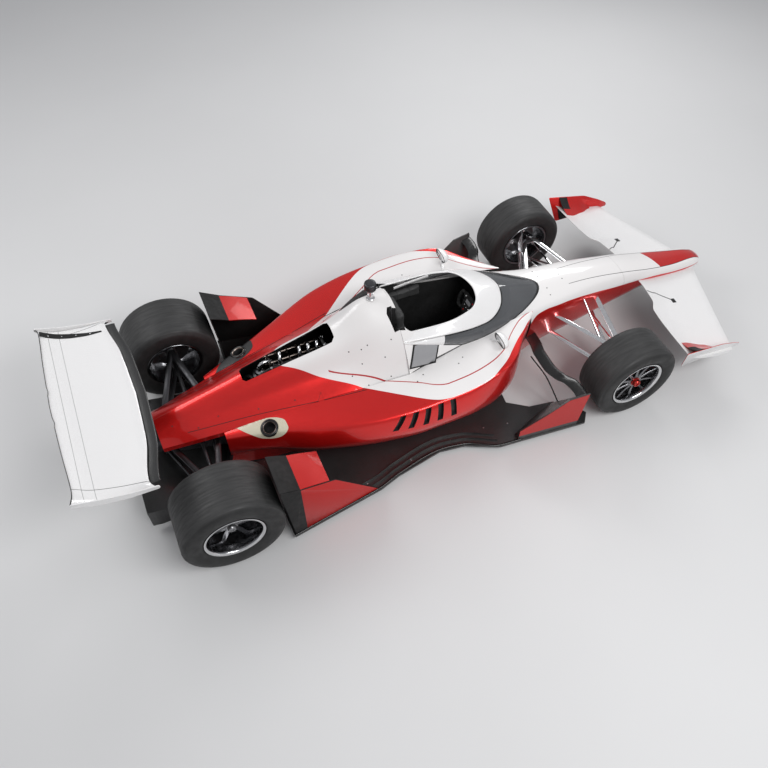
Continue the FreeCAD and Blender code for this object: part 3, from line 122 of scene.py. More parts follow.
def row_at(rows, share):
    """A table's row at any share between its first and last, with every column smooth."""
    xs = [row[0] for row in rows]
    share = min(max(share, xs[0]), xs[-1])
    return [share] + [curve_at(xs, [row[c] for row in rows], share) for c in range(1, len(rows[0]))]


def spread(first, last, count):
    return [first + (last - first) * i / (count - 1) for i in range(count)]


def fair(points, count, mirrored_end=False):
    """Evenly spaced points on a curve through a few, without overshoot between them."""
    points = [Vector(p) for p in points]
    places = [0]
    for a, b in zip(points, points[1:]):
        places.append(places[-1] + (b - a).length)
    end = places[-1]
    if mirrored_end:
        before = points[-2]
        points.append(Vector((before.x, -before.y, before.z)))
        places.append(end + places[-1] - places[-2])
    axes = [[p[axis] for p in points] for axis in range(3)]
    return [Vector([curve_at(places, values, end * i / (count - 1)) for values in axes]) for i in range(count)]


def resampled(path, count):
    """Evenly spaced points along a polyline, with its ends kept."""
    lengths = [0.0]
    for a, b in zip(path, path[1:]):
        lengths.append(lengths[-1] + (b - a).length)
    out, at = [], 0
    for goal in spread(0, lengths[-1], count):
        while at < len(path) - 2 and lengths[at + 1] < goal:
            at += 1
        step = lengths[at + 1] - lengths[at]
        out.append(path[at].lerp(path[at + 1], (goal - lengths[at]) / step if step else 0))
    return out


def closed_run(points, count):
    """Evenly spaced points around a closed polygon, with its corners kept."""
    out = []
    for a, b in zip(points, points[1:] + points[:1]):
        a, b = Vector(a), Vector(b)
        out += [a.lerp(b, k / count) for k in range(count)]
    return out


def rounded(low_x, high_x, half, rear_radius, front_radius, parts):
    """Plan outline of a box with rounded corners, counter-clockwise."""
    outline = []
    for x, y, radius, start in (
        (low_x + rear_radius, rear_radius - half, rear_radius, 180),
        (high_x - front_radius, front_radius - half, front_radius, 270),
        (high_x - front_radius, half - front_radius, front_radius, 0),
        (low_x + rear_radius, half - rear_radius, rear_radius, 90),
    ):
        for angle in spread(radians(start), radians(start + 90), parts + 1):
            outline.append((x + radius * cos(angle), y + radius * sin(angle)))
    return outline


def soft_outline(points, radius=0.02, parts=4):
    """Outline with its corners rounded."""
    points = [Vector((x, z)) for x, z in points]
    out = []
    for i, p in enumerate(points):
        before, after = points[i - 1] - p, points[(i + 1) % len(points)] - p
        cut = min(radius, before.length * 0.45, after.length * 0.45)
        a, b = p + before.normalized() * cut, p + after.normalized() * cut
        for k in range(parts + 1):
            t = k / parts
            spot = a * (1 - t) ** 2 + p * (2 * t * (1 - t)) + b * t * t
            out.append((spot.x, spot.y))
    return out


# Rings of closed forms
def spun(base, axis, profile, parts):
    """Rings about any axis; profile holds (radius, height) pairs."""
    base, axis = Vector(base), Vector(axis).normalized()
    side = axis.cross(Vector((1, 0, 0)) if abs(axis.x) < 0.8 else Vector((0, 1, 0))).normalized()
    across = axis.cross(side)
    return [[base + axis * h + side * (r * c) + across * (r * s) for c, s in circle(parts)] for r, h in profile]


def turned(centre, side, profile, parts):
    """Rings about an axle; profile holds (outboard, radius) pairs."""
    return spun(centre, (0, side, 0), [(r, out) for out, r in profile], parts)


def bar_rings(path, radius, parts=16):
    """Rings of a round tube along a path, with one radius or one for each point."""
    path = [Vector(p) for p in path]
    radii = radius if isinstance(radius, list) else [radius] * len(path)
    rings = []
    for (p, ahead), r in zip(neighbours(path), radii):
        across = ahead.cross(UP)
        across = across.normalized() if across.length > 0.00001 else Vector((0, 1, 0))
        up = across.cross(ahead).normalized()
        rings.append([p + across * (c * r) + up * (s * r) for c, s in circle(parts)])
    return rings


def blade_rings(start, end, chord, thickness, parts=20):
    """Two rings of a streamlined leg, with its chord along the car."""
    section = [Vector((chord / 2 * c, 0, thickness / 2 * s * (1 + 0.25 * c))) for c, s in circle(parts)]
    return [[end_point + p for p in section] for end_point in (Vector(start), Vector(end))]


def plate(outline, place, thickness, bevel):
    """Rings of a thin plate with softened edges; place gives the point of an outline spot at a depth."""
    heart = Vector([sum(p[i] for p in outline) / len(outline) for i in (0, 1)])
    rings = []
    for depth, inset in ((0, bevel), (bevel, 0), (thickness - bevel, 0), (thickness, bevel)):
        spots = [p + (heart - p).normalized() * inset for p in (Vector(q) for q in outline)]
        rings.append([place(x, y, depth) for x, y in spots])
    return rings


# Meshes and pieces
def in_scene(name, data):
    thing = bpy.data.objects.new(name, data)
    bpy.context.scene.collection.objects.link(thing)
    return thing


def finish_mesh(mesh, sharp):
    mesh.shade_smooth()
    mesh.set_sharp_from_angle(angle=radians(sharp))


def closed_mesh(name, vertices, faces, weld):
    """A mesh with outward normals, with shared points welded where asked."""
    mesh = bpy.data.meshes.new(name)
    mesh.from_pydata([tuple(v) for v in vertices], [], faces)
    work = bmesh.new()
    work.from_mesh(mesh)
    if weld:
        bmesh.ops.remove_doubles(work, verts=work.verts, dist=weld_distance)
    bmesh.ops.recalc_face_normals(work, faces=work.faces)
    work.to_mesh(mesh)
    work.free()
    return mesh


def dress(name, mesh, material, body="chassis", sharp=50, slot=None):
    """An object that rides on a body, in its material; its slot is worked out but not kept."""
    finish_mesh(mesh, sharp)
    thing = in_scene(name, mesh)
    mesh.materials.append(material)
    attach(thing, body)
    if slot != "":
        slot or usual_slot[material.name]
    return thing


def piece(name, vertices, faces, material, **extra):
    return dress(name, closed_mesh(name, vertices, faces, True), material, **extra)


def grid_faces(rings, count, closed):
    """Quads between consecutive rings of equal length; closed joins the last point to the first."""
    return [
        (r * count + i, r * count + (i + 1) % count, (r + 1) * count + (i + 1) % count, (r + 1) * count + i)
        for r in range(rings - 1) for i in range(count if closed else count - 1)
    ]


def merged(name, lofts, material, wrap=False, **extra):
    """One mesh of several lofts, each a list of rings with end caps, or wrapped around on itself."""
    vertices, faces = [], []
    for rings in lofts:
        rings = rings + rings[:1] if wrap else rings
        base, count = len(vertices), len(rings[0])
        vertices += [p for ring in rings for p in ring]
        faces += [tuple(base + i for i in face) for face in grid_faces(len(rings), count, True)]
        if not wrap:
            faces.append(tuple(range(base, base + count))[::-1])
            faces.append(tuple(range(len(vertices) - count, len(vertices))))
    return piece(name, vertices, faces, material, **extra)


def loft(name, rings, material, **extra):
    return merged(name, [rings], material, **extra)


def bar(name, path, radius, material, parts=16, sharp=35, **extra):
    return loft(name, bar_rings(path, radius, parts), material, sharp=sharp, **extra)


def sheet_solid(name, outer, inner, material, lining=None, **extra):
    """Closed shell between two grids of points of the same shape, with a lining on its inner side."""
    rows, count = len(outer), len(outer[0])
    total = rows * count
    face_grid = grid_faces(rows, count, False)
    faces = face_grid + [tuple(total + i for i in reversed(face)) for face in face_grid]
    border = list(range(count)) + [r * count + count - 1 for r in range(1, rows)]
    border += [total - count + i for i in range(count - 2, -1, -1)] + [r * count for r in range(rows - 2, 0, -1)]
    faces += [(b, a, total + a, total + b) for a, b in zip(border, border[1:] + border[:1])]
    made = piece(name, [p for row in outer + inner for p in row], faces, material, **extra)
    if lining:
        made.data.materials.append(lining)
        for face in list(made.data.polygons)[len(face_grid):2 * len(face_grid)]:
            face.material_index = 1
    return made


def paint_faces(thing, material, chooses):
    """Gives another material to the faces whose centre and normal a test accepts."""
    thing.data.materials.append(material)
    for face in thing.data.polygons:
        if chooses(face.center, face.normal):
            face.material_index = len(thing.data.materials) - 1


def block_between(low, top):
    """Closed block between two loops of points."""
    count = len(low)
    caps = [tuple(range(count))[::-1], tuple(range(count, 2 * count))]
    return in_scene("cutter", closed_mesh("cutter", low + top, caps + grid_faces(2, count, True), False))


def tilted_prism(outline, shift):
    """Closed prism between a loop of points and the same loop moved by a shift."""
    low = [Vector(p) for p in outline]
    return block_between(low, [p + Vector(shift) for p in low])


def prism(outline, low, top):
    """Closed upright prism over a plan outline."""
    return tilted_prism([(x, y, low) for x, y in outline], (0, 0, top - low))


def boolean(thing, block, lining):
    """Cuts a closed block out of a piece, lines the cut with a material and deletes the block."""
    block.data.materials.append(lining)
    modifier = thing.modifiers.new("cut", "BOOLEAN")
    modifier.operation = "DIFFERENCE"
    modifier.solver = "EXACT"
    modifier.material_mode = "TRANSFER"
    modifier.object = block
    bpy.context.view_layer.update()
    settle(thing)
    finish_mesh(thing.data, 35)
    bpy.data.objects.remove(block)


def settle(thing):
    """Applies a piece's modifiers to its mesh."""
    graph = bpy.context.evaluated_depsgraph_get()
    result = bpy.data.meshes.new_from_object(thing.evaluated_get(graph))
    thing.modifiers.clear()
    thing.data = result


def surface(*things):
    """Ray tree over one or more pieces."""
    vertices, faces = [], []
    for thing in things:
        base = len(vertices)
        vertices += [v.co.copy() for v in thing.data.vertices]
        faces += [tuple(base + i for i in face.vertices) for face in thing.data.polygons]
    return BVHTree.FromPolygons(vertices, faces)


def landing(tree, spot, along):
    """Where a ray through a spot meets a surface, and the surface's normal there."""
    hit, normal = tree.ray_cast(spot - along * 1.5, along)[:2]
    if hit is None:
        hit, normal = tree.find_nearest(spot)[:2]
    if normal.dot(along) > 0:
        normal = -normal
    return hit, normal


def draped(name, outline, tree, material, along=DOWN, hole=None, lift=0.0022, **extra):
    """Thin panel laid on a surface: a loop of points, and loops inside it, dropped along a ray."""
    heart = sum(outline, Vector()) / len(outline)
    inner = hole or [heart.lerp(p, 0.04) for p in outline]
    rings = []
    for share, rise in [(s, lift) for s in (0, 0.2, 0.4, 0.6, 0.76, 0.9, 1)] + [(1, -0.0008)]:
        spots = [landing(tree, a.lerp(b, share), along) for a, b in zip(inner, outline)]
        rings.append([hit + normal * rise for hit, normal in spots])
    faces = grid_faces(len(rings), len(outline), True)
    if not hole:
        faces.append(tuple(range(len(outline))))
    return piece(name, [p for ring in rings for p in ring], faces, material, **extra)


def ribbon_rings(path, tree, half_width, rise):
    """Rings of a thin flat line that follows a surface."""
    rings = []
    for p, ahead in neighbours(path):
        hit, normal = landing(tree, p, DOWN)
        across = ahead.cross(normal).normalized() * half_width
        section = ((-1, -0.001), (-0.8, rise), (0.8, rise), (1, -0.001))
        rings.append([hit + across * a + normal * h for a, h in section])
    return rings


def small_disc(spot, normal, radius):
    profile = [(radius, 0.0), (radius, 0.0014), (radius * 0.75, 0.0019), (0.0006, 0.0019)]
    return spun(spot - normal * 0.001, normal, profile, 12)


# Materials: a node's output that works in sums, and short calls for the nodes of a look
class Signal:
    def __init__(self, socket):
        self.socket = socket

    def __add__(self, other):
        return compute("ADD", self, other)

    def __sub__(self, other):
        return compute("SUBTRACT", self, other)

    def __rsub__(self, other):
        return compute("SUBTRACT", other, self)

    def __mul__(self, other):
        return compute("MULTIPLY", self, other)

    def __truediv__(self, other):
        return compute("DIVIDE", self, other)

    def __abs__(self):
        return compute("ABSOLUTE", self)


def feed(value, socket):
    """Links a signal to a socket, or sets a colour or a number there."""
    if isinstance(value, Signal):
        socket.id_data.links.new(value.socket, socket)
    else:
        socket.default_value = (*value, 1) if isinstance(value, tuple) else value


def compute(operation, a, b=None, clamp=False):
    tree = (a if isinstance(a, Signal) else b).socket.id_data
    node = tree.nodes.new("ShaderNodeMath")
    node.operation = operation
    node.use_clamp = clamp
    feed(a, node.inputs[0])
    if b is not None:
        feed(b, node.inputs[1])
    return Signal(node.outputs[0])


def edge(amount, width=0.0012):
    """1 where an amount is positive, with a thin soft edge."""
    return compute("ADD", amount / width, 0.5, clamp=True)


def band(distance, half_width):
    return edge(half_width - abs(distance))


def grey(v):
    return (v, v, v)


class Look:
    """A new material and its shader."""

    def __init__(self, name):
        self.material = bpy.data.materials.new(name)
        self.material.use_nodes = True
        self.tree = self.material.node_tree
        self.shader = self.tree.nodes["Principled BSDF"]

    def set(self, **values):
        """Feeds the shader's sockets, named with underscores for spaces."""
        for name, value in values.items():
            feed(value, self.shader.inputs[name.replace("_", " ")])

    def node(self, kind, **values):
        node = self.tree.nodes.new("ShaderNode" + kind)
        for name, value in values.items():
            feed(value, node.inputs[name.replace("_", " ")])
        return node

    def place(self):
        return Signal(self.node("TexCoord").outputs["Object"])

    def axes(self):
        return [Signal(socket) for socket in self.node("SeparateXYZ", Vector=self.place()).outputs]

    def noise(self, scale, detail=4.0, stretch=None):
        place = self.place()
        if stretch:
            mapping = self.node("Mapping", Vector=place)
            mapping.inputs["Scale"].default_value = stretch
            place = Signal(mapping.outputs[0])
        return Signal(self.node("TexNoise", Scale=scale, Detail=detail, Vector=place).outputs["Fac"])

    def ramp(self, value, low, top, span=(0.3, 0.7)):
        """A value turned into tones between two colours."""
        node = self.node("ValToRGB", Fac=value)
        for element, position, colour in zip(node.color_ramp.elements, span, (low, top)):
            element.position = position
            element.color = (*colour, 1)
        return Signal(node.outputs["Color"])

    def grain(self, scale, low, top, detail=4.0, stretch=None, span=(0.3, 0.7)):
        """Noise between two greys."""
        return self.ramp(self.noise(scale, detail, stretch), grey(low), grey(top), span)

    def mix(self, factor, a, b):
        node = self.tree.nodes.new("ShaderNodeMix")
        node.data_type = "RGBA"
        feed(factor, node.inputs["Factor"])
        sockets = [s for s in node.inputs if s.type == "RGBA"]
        feed(a, sockets[0])
        feed(b, sockets[1])
        return Signal(next(s for s in node.outputs if s.type == "RGBA"))

    def bump(self, height, strength, distance):
        node = self.node("Bump", Strength=strength, Distance=distance, Height=height)
        self.set(Normal=Signal(node.outputs["Normal"]))

    def curve(self, x, points, span, reach):
        """Value of a smooth line through points at each X, made with a curve node."""
        node = self.tree.nodes.new("ShaderNodeFloatCurve")
        width, depth = span[1] - span[0], reach[1] - reach[0]
        spots = node.mapping.curves[0].points
        while len(spots) < len(points):
            spots.new(0.5, 0.5)
        for spot, (at, value) in zip(spots, sorted(points)):
            unit = ((at - span[0]) / width, (value - reach[0]) / depth)
            spot.location = [min(max(u, 0), 1) for u in unit]
            spot.handle_type = "AUTO_CLAMPED"
        node.mapping.extend = "HORIZONTAL"
        node.mapping.update()
        feed((x - span[0]) / width, node.inputs["Value"])
        return Signal(node.outputs["Value"]) * depth + reach[0]

    def flakes(self, colour):
        """Metallic paint: fine flakes that vary a colour by a little."""
        dark, bright = [tuple(min(1, c * k) for c in colour) for k in (0.78, 1.25)]
        return self.ramp(self.noise(2600, 2), dark, bright, (0.35, 0.65))

    def paint_finish(self, metallic=0.0, coat=0.7):
        self.set(Metallic=metallic, Coat_Weight=coat, Coat_Roughness=0.04, Coat_IOR=1.5)
        self.set(Roughness=self.grain(40, 0.30, 0.40, 6))
        self.bump(self.noise(900, 2), 0.04, 0.0004)


white_paint = (0.83, 0.81, 0.80)
red_paint = (0.72, 0.010, 0.008)
pin_red = (0.45, 0.01, 0.012)
line_black = (0.012, 0.012, 0.013)

# Paint boundaries, in metres of the frame: plan X with the distance from the centre plane, and X with height
white_edge_plan = [
    (-1.30, 0.0), (-1.12, 0.072), (-1.095, 0.088), (-0.946, 0.168), (-0.798, 0.258), (-0.651, 0.356),
    (-0.533, 0.452), (-0.418, 0.548), (-0.302, 0.638), (-0.241, 0.677), (-0.193, 0.698), (-0.144, 0.709),
    (-0.065, 0.714), (0.077, 0.710), (0.192, 0.693), (0.287, 0.648), (0.368, 0.599), (0.438, 0.539),
    (0.533, 0.457), (0.62, 0.391), (0.696, 0.330), (0.80, 0.272), (0.858, 0.262), (0.90, 0.32), (1.0, 1.0),
]
white_edge_height = [
    (-1.6, 0.45), (0.70, 0.50), (0.79, 0.56), (0.858, 0.587), (1.06, 0.571), (1.148, 0.566), (1.403, 0.530),
    (1.62, 0.484), (1.83, 0.443), (2.058, 0.397), (2.392, 0.334), (2.50, 0.326),
]
pin_line_plan = [
    (-0.90, 0.150), (-0.818, 0.197), (-0.625, 0.300), (-0.272, 0.506), (-0.163, 0.580), (-0.121, 0.596),
    (-0.088, 0.602), (0.062, 0.601), (0.215, 0.581), (0.349, 0.534), (0.510, 0.397), (0.567, 0.349),
    (0.663, 0.284), (0.798, 0.232),
]
nose_line_plan = [(1.15, 0.088), (1.5, 0.095), (1.786, 0.102), (2.12, 0.094), (2.511, 0.050)]
strip_low_height = [(1.70, 0.30), (1.90, 0.33), (2.13, 0.318), (2.45, 0.318)]
nose_red_x, nose_red_slant, nose_red_low = 2.072, 0.40, 0.335
nose_line_x, nose_line_low, nose_tip_x, nose_tip_half = 1.20, 0.33, 2.540, 0.048
pin_rear_x, pin_front_x, lip_rear_x = -0.82, 0.79, 1.86


def livery(name):
    """White and metallic red paint with its boundaries, pinstripes and the black nose lines."""
    look = Look(name)
    x, y, z = look.axes()
    side = abs(y)
    inside = edge(look.curve(x, white_edge_plan, (-1.3, 1.0), (0, 1)) - side)
    above = edge(z - look.curve(x, white_edge_height, (-1.6, 2.5), (0.3, 0.62)))
    lip = edge(look.curve(x, strip_low_height, (1.7, 2.45), (0.2, 0.4)) - z) * edge(x - lip_rear_x)
    line_y = look.curve(x, nose_line_plan, (1.1, 2.52), (0, 0.2))
    mark = edge(x + y * nose_red_slant - nose_red_x) * edge(line_y - side) * edge(z - nose_red_low)
    white_part = compute("MAXIMUM", inside * above, lip) * (1 - mark)
    colour = look.mix(white_part, look.flakes(red_paint), white_paint)
    pin = band(side - look.curve(x, pin_line_plan, (-0.9, 0.9), (0, 0.65)), 0.0045)
    pin_zone = edge(x - pin_rear_x) * white_part * edge(pin_front_x - x)
    colour = look.mix(pin * pin_zone, colour, pin_red)
    tip = band(x - nose_tip_x, 0.0026) * edge(nose_tip_half - side)
    lines = compute("MAXIMUM", band(side - line_y, 0.0022), tip) * (edge(x - nose_line_x) * edge(z - nose_line_low))
    look.set(Base_Color=look.mix(lines, colour, line_black))
    look.paint_finish()
    look.set(Metallic=(1 - white_part) * 0.65)
    return look.material


def plain_paint(name, colour, metallic=0.0, coat=0.7):
    look = Look(name)
    look.paint_finish(metallic, coat)
    look.set(Base_Color=look.flakes(colour))
    return look.material


def carbon_material(name, base=0.022, sheen=0.35):
    look = Look(name)
    weave = look.node("TexBrick", Scale=160, Mortar_Size=0.02, Vector=look.place())
    for socket, share in (("Color1", 0.7), ("Color2", 1.7), ("Mortar", 0.5)):
        feed(grey(base * share), weave.inputs[socket])
    look.set(Base_Color=Signal(weave.outputs["Color"]), Roughness=look.grain(14, sheen - 0.06, sheen + 0.12, 5))
    look.set(Coat_Weight=0.5, Coat_Roughness=0.2)
    look.bump(Signal(weave.outputs["Fac"]), 0.15, 0.0005)
    return look.material


def black_material(name, value=0.015, low=0.35, top=0.6, scale=500, specular=0.5):
    look = Look(name)
    look.set(Base_Color=look.grain(9, value * 0.8, value * 1.5), Roughness=look.grain(30, low, top))
    look.set(Specular_IOR_Level=specular)
    look.bump(look.noise(scale, 3), 0.25, 0.0006)
    return look.material


def metal_material(name, colour, low=0.15, top=0.35):
    look = Look(name)
    shade = look.ramp(look.noise(60, 5), tuple(c * 0.85 for c in colour), colour)
    look.set(Metallic=1, Base_Color=shade, Roughness=look.grain(25, low, top, 5))
    look.bump(look.noise(300, 3), 0.06, 0.0004)
    return look.material


def tyre_material(name, centre, tread_radius):
    """Slick tyre: a grey tread band of scuffed wear with a painted sheen, and darker smooth walls, by distance from
    the axle.
    """
    look = Look(name)
    x, _, z = look.axes()
    squares = [compute("POWER", abs(d), 2) for d in (x - centre.x, z - centre.z)]
    radius = compute("SQRT", squares[0] + squares[1])
    tread = compute("DIVIDE", radius - tread_radius * 0.93, tread_radius * 0.05, clamp=True)
    # Lighter grey of the tread: partly scuffed rubber, partly a painted sheen.
    scuff_and_sheen = look.grain(7, 0.018, 0.040, 8, (1, 9, 1), (0.25, 0.75))
    look.set(Base_Color=look.mix(tread, look.grain(20, 0.012, 0.020, 6), scuff_and_sheen))
    look.set(Roughness=look.grain(12, 0.48, 0.72, 7, (1, 6, 1)))
    look.bump(look.noise(420), 0.35, 0.0007)
    return look.material


def screen_material(name):
    look = Look(name)
    look.set(Base_Color=look.ramp(look.noise(3), (0.080, 0.084, 0.090), (0.115, 0.12, 0.128)))
    look.set(Roughness=0.06, Alpha=0.72, Coat_Weight=1, Coat_Roughness=0.02)
    look.bump(look.noise(30, 1), 0.02, 0.0003)
    return look.material


def wing_paint(name, creases=(), tips=False):
    """White gloss with thin dark lines across the car at the given X places, and slanted tip seams."""
    look = Look(name)
    look.paint_finish()
    x, y, _ = look.axes()
    colour = look.flakes(white_paint)
    for place, half_width, tone in creases:
        colour = look.mix(band(x - place, half_width), colour, grey(tone))
    if tips:
        colour = look.mix(band(abs(y) - (x * 0.155 + 1.022), 0.0016), colour, grey(0.02))
    look.set(Base_Color=colour)
    return look.material


paint = livery("livery_paint")
red = plain_paint("red_metallic_paint", red_paint, 0.65)
ramp_red = plain_paint("red_ramp_paint", (0.50, 0.008, 0.006), 0.3, 0.15)
white = plain_paint("white_gloss_paint", white_paint)
cream = plain_paint("cream_heat_panel", (0.62, 0.58, 0.44))
panel_grey = plain_paint("grey_display_panel", (0.30, 0.30, 0.31))
wing_white = wing_paint("front_wing_paint")
rear_wing_white = wing_paint("rear_wing_paint", [(-2.500, 0.0012, 0.25), (-2.437, 0.0012, 0.25)], True)
carbon = carbon_material("carbon_fibre")
carbon_dark = carbon_material("carbon_fibre_dark", 0.012, 0.45)
black = black_material("black_trim")
gloss_black = black_material("black_gloss", 0.01, 0.12, 0.25)
matt_black = black_material("black_matt", 0.012, 0.55, 0.75, specular=0.3)
foam = black_material("padded_skin", 0.036, 0.6, 0.8, 240)
webbing = black_material("harness_webbing", 0.060, 0.7, 0.85, 900)
rubber = black_material("grip_rubber", 0.014, 0.6, 0.8, 700)
chrome = metal_material("polished_steel", (0.88, 0.88, 0.89), 0.05, 0.14)
polished = metal_material("polished_lip", (0.78, 0.78, 0.79), 0.08, 0.18)
dark_metal = metal_material("dark_coated_steel", (0.09, 0.09, 0.095), 0.3, 0.5)
alloy = metal_material("machined_alloy", (0.42, 0.42, 0.43), 0.25, 0.42)
wheel_metal = metal_material("dark_polished_wheel", (0.24, 0.24, 0.25), 0.14, 0.28)
engine_metal = metal_material("cast_engine", (0.13, 0.13, 0.14), 0.4, 0.6)
heat_metal = metal_material("heat_tinted_steel", (0.40, 0.34, 0.30), 0.25, 0.45)
red_metal = metal_material("red_anodised", (0.60, 0.06, 0.05), 0.2, 0.35)
disc_metal = metal_material("brake_disc", (0.16, 0.16, 0.165), 0.35, 0.55)
screen = screen_material("smoked_screen")

slot_materials = {
    "paint_white": (paint, white, wing_white, rear_wing_white), "paint_red": (red, ramp_red), "screen": (screen,),
    "trim_black": (black, gloss_black, matt_black, cream, panel_grey), "carbon": (carbon, carbon_dark),
    "padding": (foam, webbing, rubber), "bright_steel": (chrome, polished), "dark_steel": (dark_metal,),
    "hub_steel": (alloy, red_metal, disc_metal), "wheel_alloy": (wheel_metal,), "exhaust_steel": (heat_metal,),
}
usual_slot = {material.name: slot for slot, group in slot_materials.items() for material in group}

# CAD nodes get a finish, by the start of their names; those that no piece replaces keep their shape
node_finishes = {
    paint: "engine_cover monocoque nose_cone sidepod", white: "front_wing mirrors rear_wing screen_frame",
    red: "front_endplates wheel_ramps", black: "camera_pod radiators steering_wheel tyre", screen: "screen_glass",
    carbon: "floor rear_endplates rear_wing_pylons turning_vanes", foam: "cockpit_surround seat",
    engine_metal: "engine_block gearbox", heat_metal: "exhausts", alloy: "rear_uprights hub knuckle",
    chrome: "steering_rack front_suspension", wheel_metal: "rim", dark_metal: "rear_suspension",
}
finish_of = {start: material for material, starts in node_finishes.items() for start in starts.split()}
for name, node in nodes.items():
    start = max((start for start in finish_of if name.startswith(start)), key=len)
    node.data.materials.clear()
    node.data.materials.append(finish_of[start])


# Wheels
def wheel_box(end, hand):
    """Centre, radius and half width of a tyre."""
    low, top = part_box(f"tyre_{end}_{hand}")
    return (low + top) / 2, (top.z - low.z) / 2, (top.y - low.y) / 2


def turned_piece(kind, side, hand, end, profile, parts, material, **extra):
    """A closed form turned about an axle, riding on its wheel."""
    rings = turned(wheel_box(end, hand)[0], side, profile, parts)
    return merged(f"{kind}_{end}_{hand}", [rings], material, True, body=f"wheel_{end}_{hand}", **extra)


def tyre_piece(side, hand, end):
    centre, radius, half = wheel_box(end, hand)
    lip, bead = 0.205, half - 0.0245
    reach = radius - lip
    flank = [
        (bead, 0.1915), (bead, lip + 0.001), (bead + 0.003, lip + 0.004), (bead + 0.008, lip + 0.006),
        (bead + 0.012, lip + 0.012), (half - 0.0035, lip + reach * 0.28), (half, lip + reach * 0.50),
        (half - 0.002, lip + reach * 0.68), (half - 0.007, lip + reach * 0.82), (half - 0.0105, lip + reach * 0.835),
        (half - 0.014, radius - 0.012), (half - 0.022, radius - 0.0045), (half - 0.036, radius - 0.0012),
    ]
    crown = [(half * k, radius - 0.0004 * k) for k in (0.6, 0.3, 0.0)]
    profile = flank + crown + [(-out, r) for out, r in reversed(flank + crown[:-1])]
    material = tyre_material(f"slick_wear_and_sheen_{end}", centre, radius)
    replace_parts(turned_piece("slick", side, hand, end, profile, 128, material, slot="tyre"), f"tyre_{end}_{hand}")


for end in ENDS:
    both_sides(tyre_piece, end)

# Body skins: the same tables as the solids, drawn as smooth surfaces
nose_rows = [
    (-0.412, 0.050, 0.2355, 0.059, 0.291, 0.059, 0.304, 0.047, 0.315, 0.319),
    (-0.401, 0.089, 0.2165, 0.105, 0.279, 0.105, 0.308, 0.084, 0.326, 0.336),
    (-0.374, 0.107, 0.2095, 0.128, 0.283, 0.128, 0.325, 0.107, 0.349, 0.360),
    (-0.315, 0.115, 0.2095, 0.144, 0.302, 0.146, 0.354, 0.125, 0.379, 0.394),
    (-0.224, 0.124, 0.2185, 0.165, 0.340, 0.170, 0.406, 0.144, 0.442, 0.460),
    (-0.127, 0.144, 0.1885, 0.196, 0.321, 0.209, 0.443, 0.167, 0.508, 0.534),
    (0.002, 0.183, 0.1295, 0.248, 0.283, 0.269, 0.472, 0.217, 0.557, 0.587),
    (0.116, 0.216, 0.0945, 0.281, 0.283, 0.316, 0.491, 0.268, 0.574, 0.598),
    (0.229, 0.261, 0.000, 0.353, 0.283, 0.395, 0.533, 0.356, 0.618, 0.651),
    (0.327, 0.288, 0.000, 0.405, 0.283, 0.451, 0.557, 0.408, 0.651, 0.736),
    (0.424, 0.314, 0.000, 0.438, 0.283, 0.499, 0.575, 0.416, 0.703, 0.811),
    (0.521, 0.327, 0.000, 0.464, 0.283, 0.536, 0.583, 0.392, 0.813, 0.972),
]
bulkhead_share = -0.127
split_rows = [(0.174, 0.325), (0.521, 0.536), (0.949, 0.325), (1.10, 0.21)]
cover_rows = [
    (0.521, 0.536, 0.583, 0.408, 0.792, 0.222, 0.929, 0.986),
    (0.570, 0.512, 0.577, 0.366, 0.745, 0.183, 0.910, 0.991),
    (0.657, 0.469, 0.566, 0.294, 0.651, 0.141, 0.797, 0.842),
    (0.771, 0.413, 0.530, 0.255, 0.599, 0.118, 0.719, 0.747),
    (0.874, 0.362, 0.492, 0.220, 0.555, 0.097, 0.651, 0.674),
    (0.949, 0.325, 0.458, 0.191, 0.521, 0.084, 0.592, 0.613),
    (1.084, 0.216, 0.401, 0.154, 0.464, 0.072, 0.506, 0.516),
]
pod_rows = [
    (0.174, 0.307, 0.4805, 0.327, 0.528, 0.342, 0.557, 0.348, 0.608, 0.333, 0.615, 0.250, 0.613),
    (0.229, 0.350, 0.3585, 0.529, 0.406, 0.573, 0.528, 0.559, 0.626, 0.458, 0.632, 0.280, 0.625),
    (0.291, 0.350, 0.2265, 0.745, 0.274, 0.837, 0.472, 0.808, 0.643, 0.627, 0.645, 0.300, 0.630),
    (0.349, 0.350, 0.000, 0.784, 0.170, 0.936, 0.453, 0.892, 0.630, 0.706, 0.638, 0.340, 0.630),
    (0.424, 0.350, 0.000, 0.810, 0.179, 0.991, 0.453, 0.931, 0.611, 0.732, 0.619, 0.360, 0.623),
    (0.521, 0.350, 0.000, 0.810, 0.179, 0.983, 0.443, 0.922, 0.592, 0.732, 0.602, 0.360, 0.596),
    (0.618, 0.340, 0.000, 0.758, 0.179, 0.923, 0.425, 0.873, 0.566, 0.706, 0.577, 0.340, 0.574),
    (0.764, 0.261, 0.000, 0.562, 0.170, 0.732, 0.377, 0.660, 0.514, 0.549, 0.530, 0.261, 0.534),
    (0.855, 0.196, 0.000, 0.392, 0.170, 0.556, 0.358, 0.520, 0.481, 0.431, 0.500, 0.196, 0.504),
    (0.949, 0.157, 0.0375, 0.288, 0.170, 0.405, 0.330, 0.392, 0.436, 0.353, 0.453, 0.157, 0.460),
]
crown_width_share, crown_height_share = 0.55, 0.70
foot_width_share = 0.7


def split_y(share):
    return wide(next(
        a[1] + (b[1] - a[1]) * (share - a[0]) / (b[0] - a[0])
        for a, b in zip(split_rows, split_rows[1:]) if share <= b[0] or b is split_rows[-1]
    ))


def mirrored(half, first=0):
    """A line that ends on the centre plane, carried on to the right side."""
    return half + sided(half[first:-1], -1)[::-1]


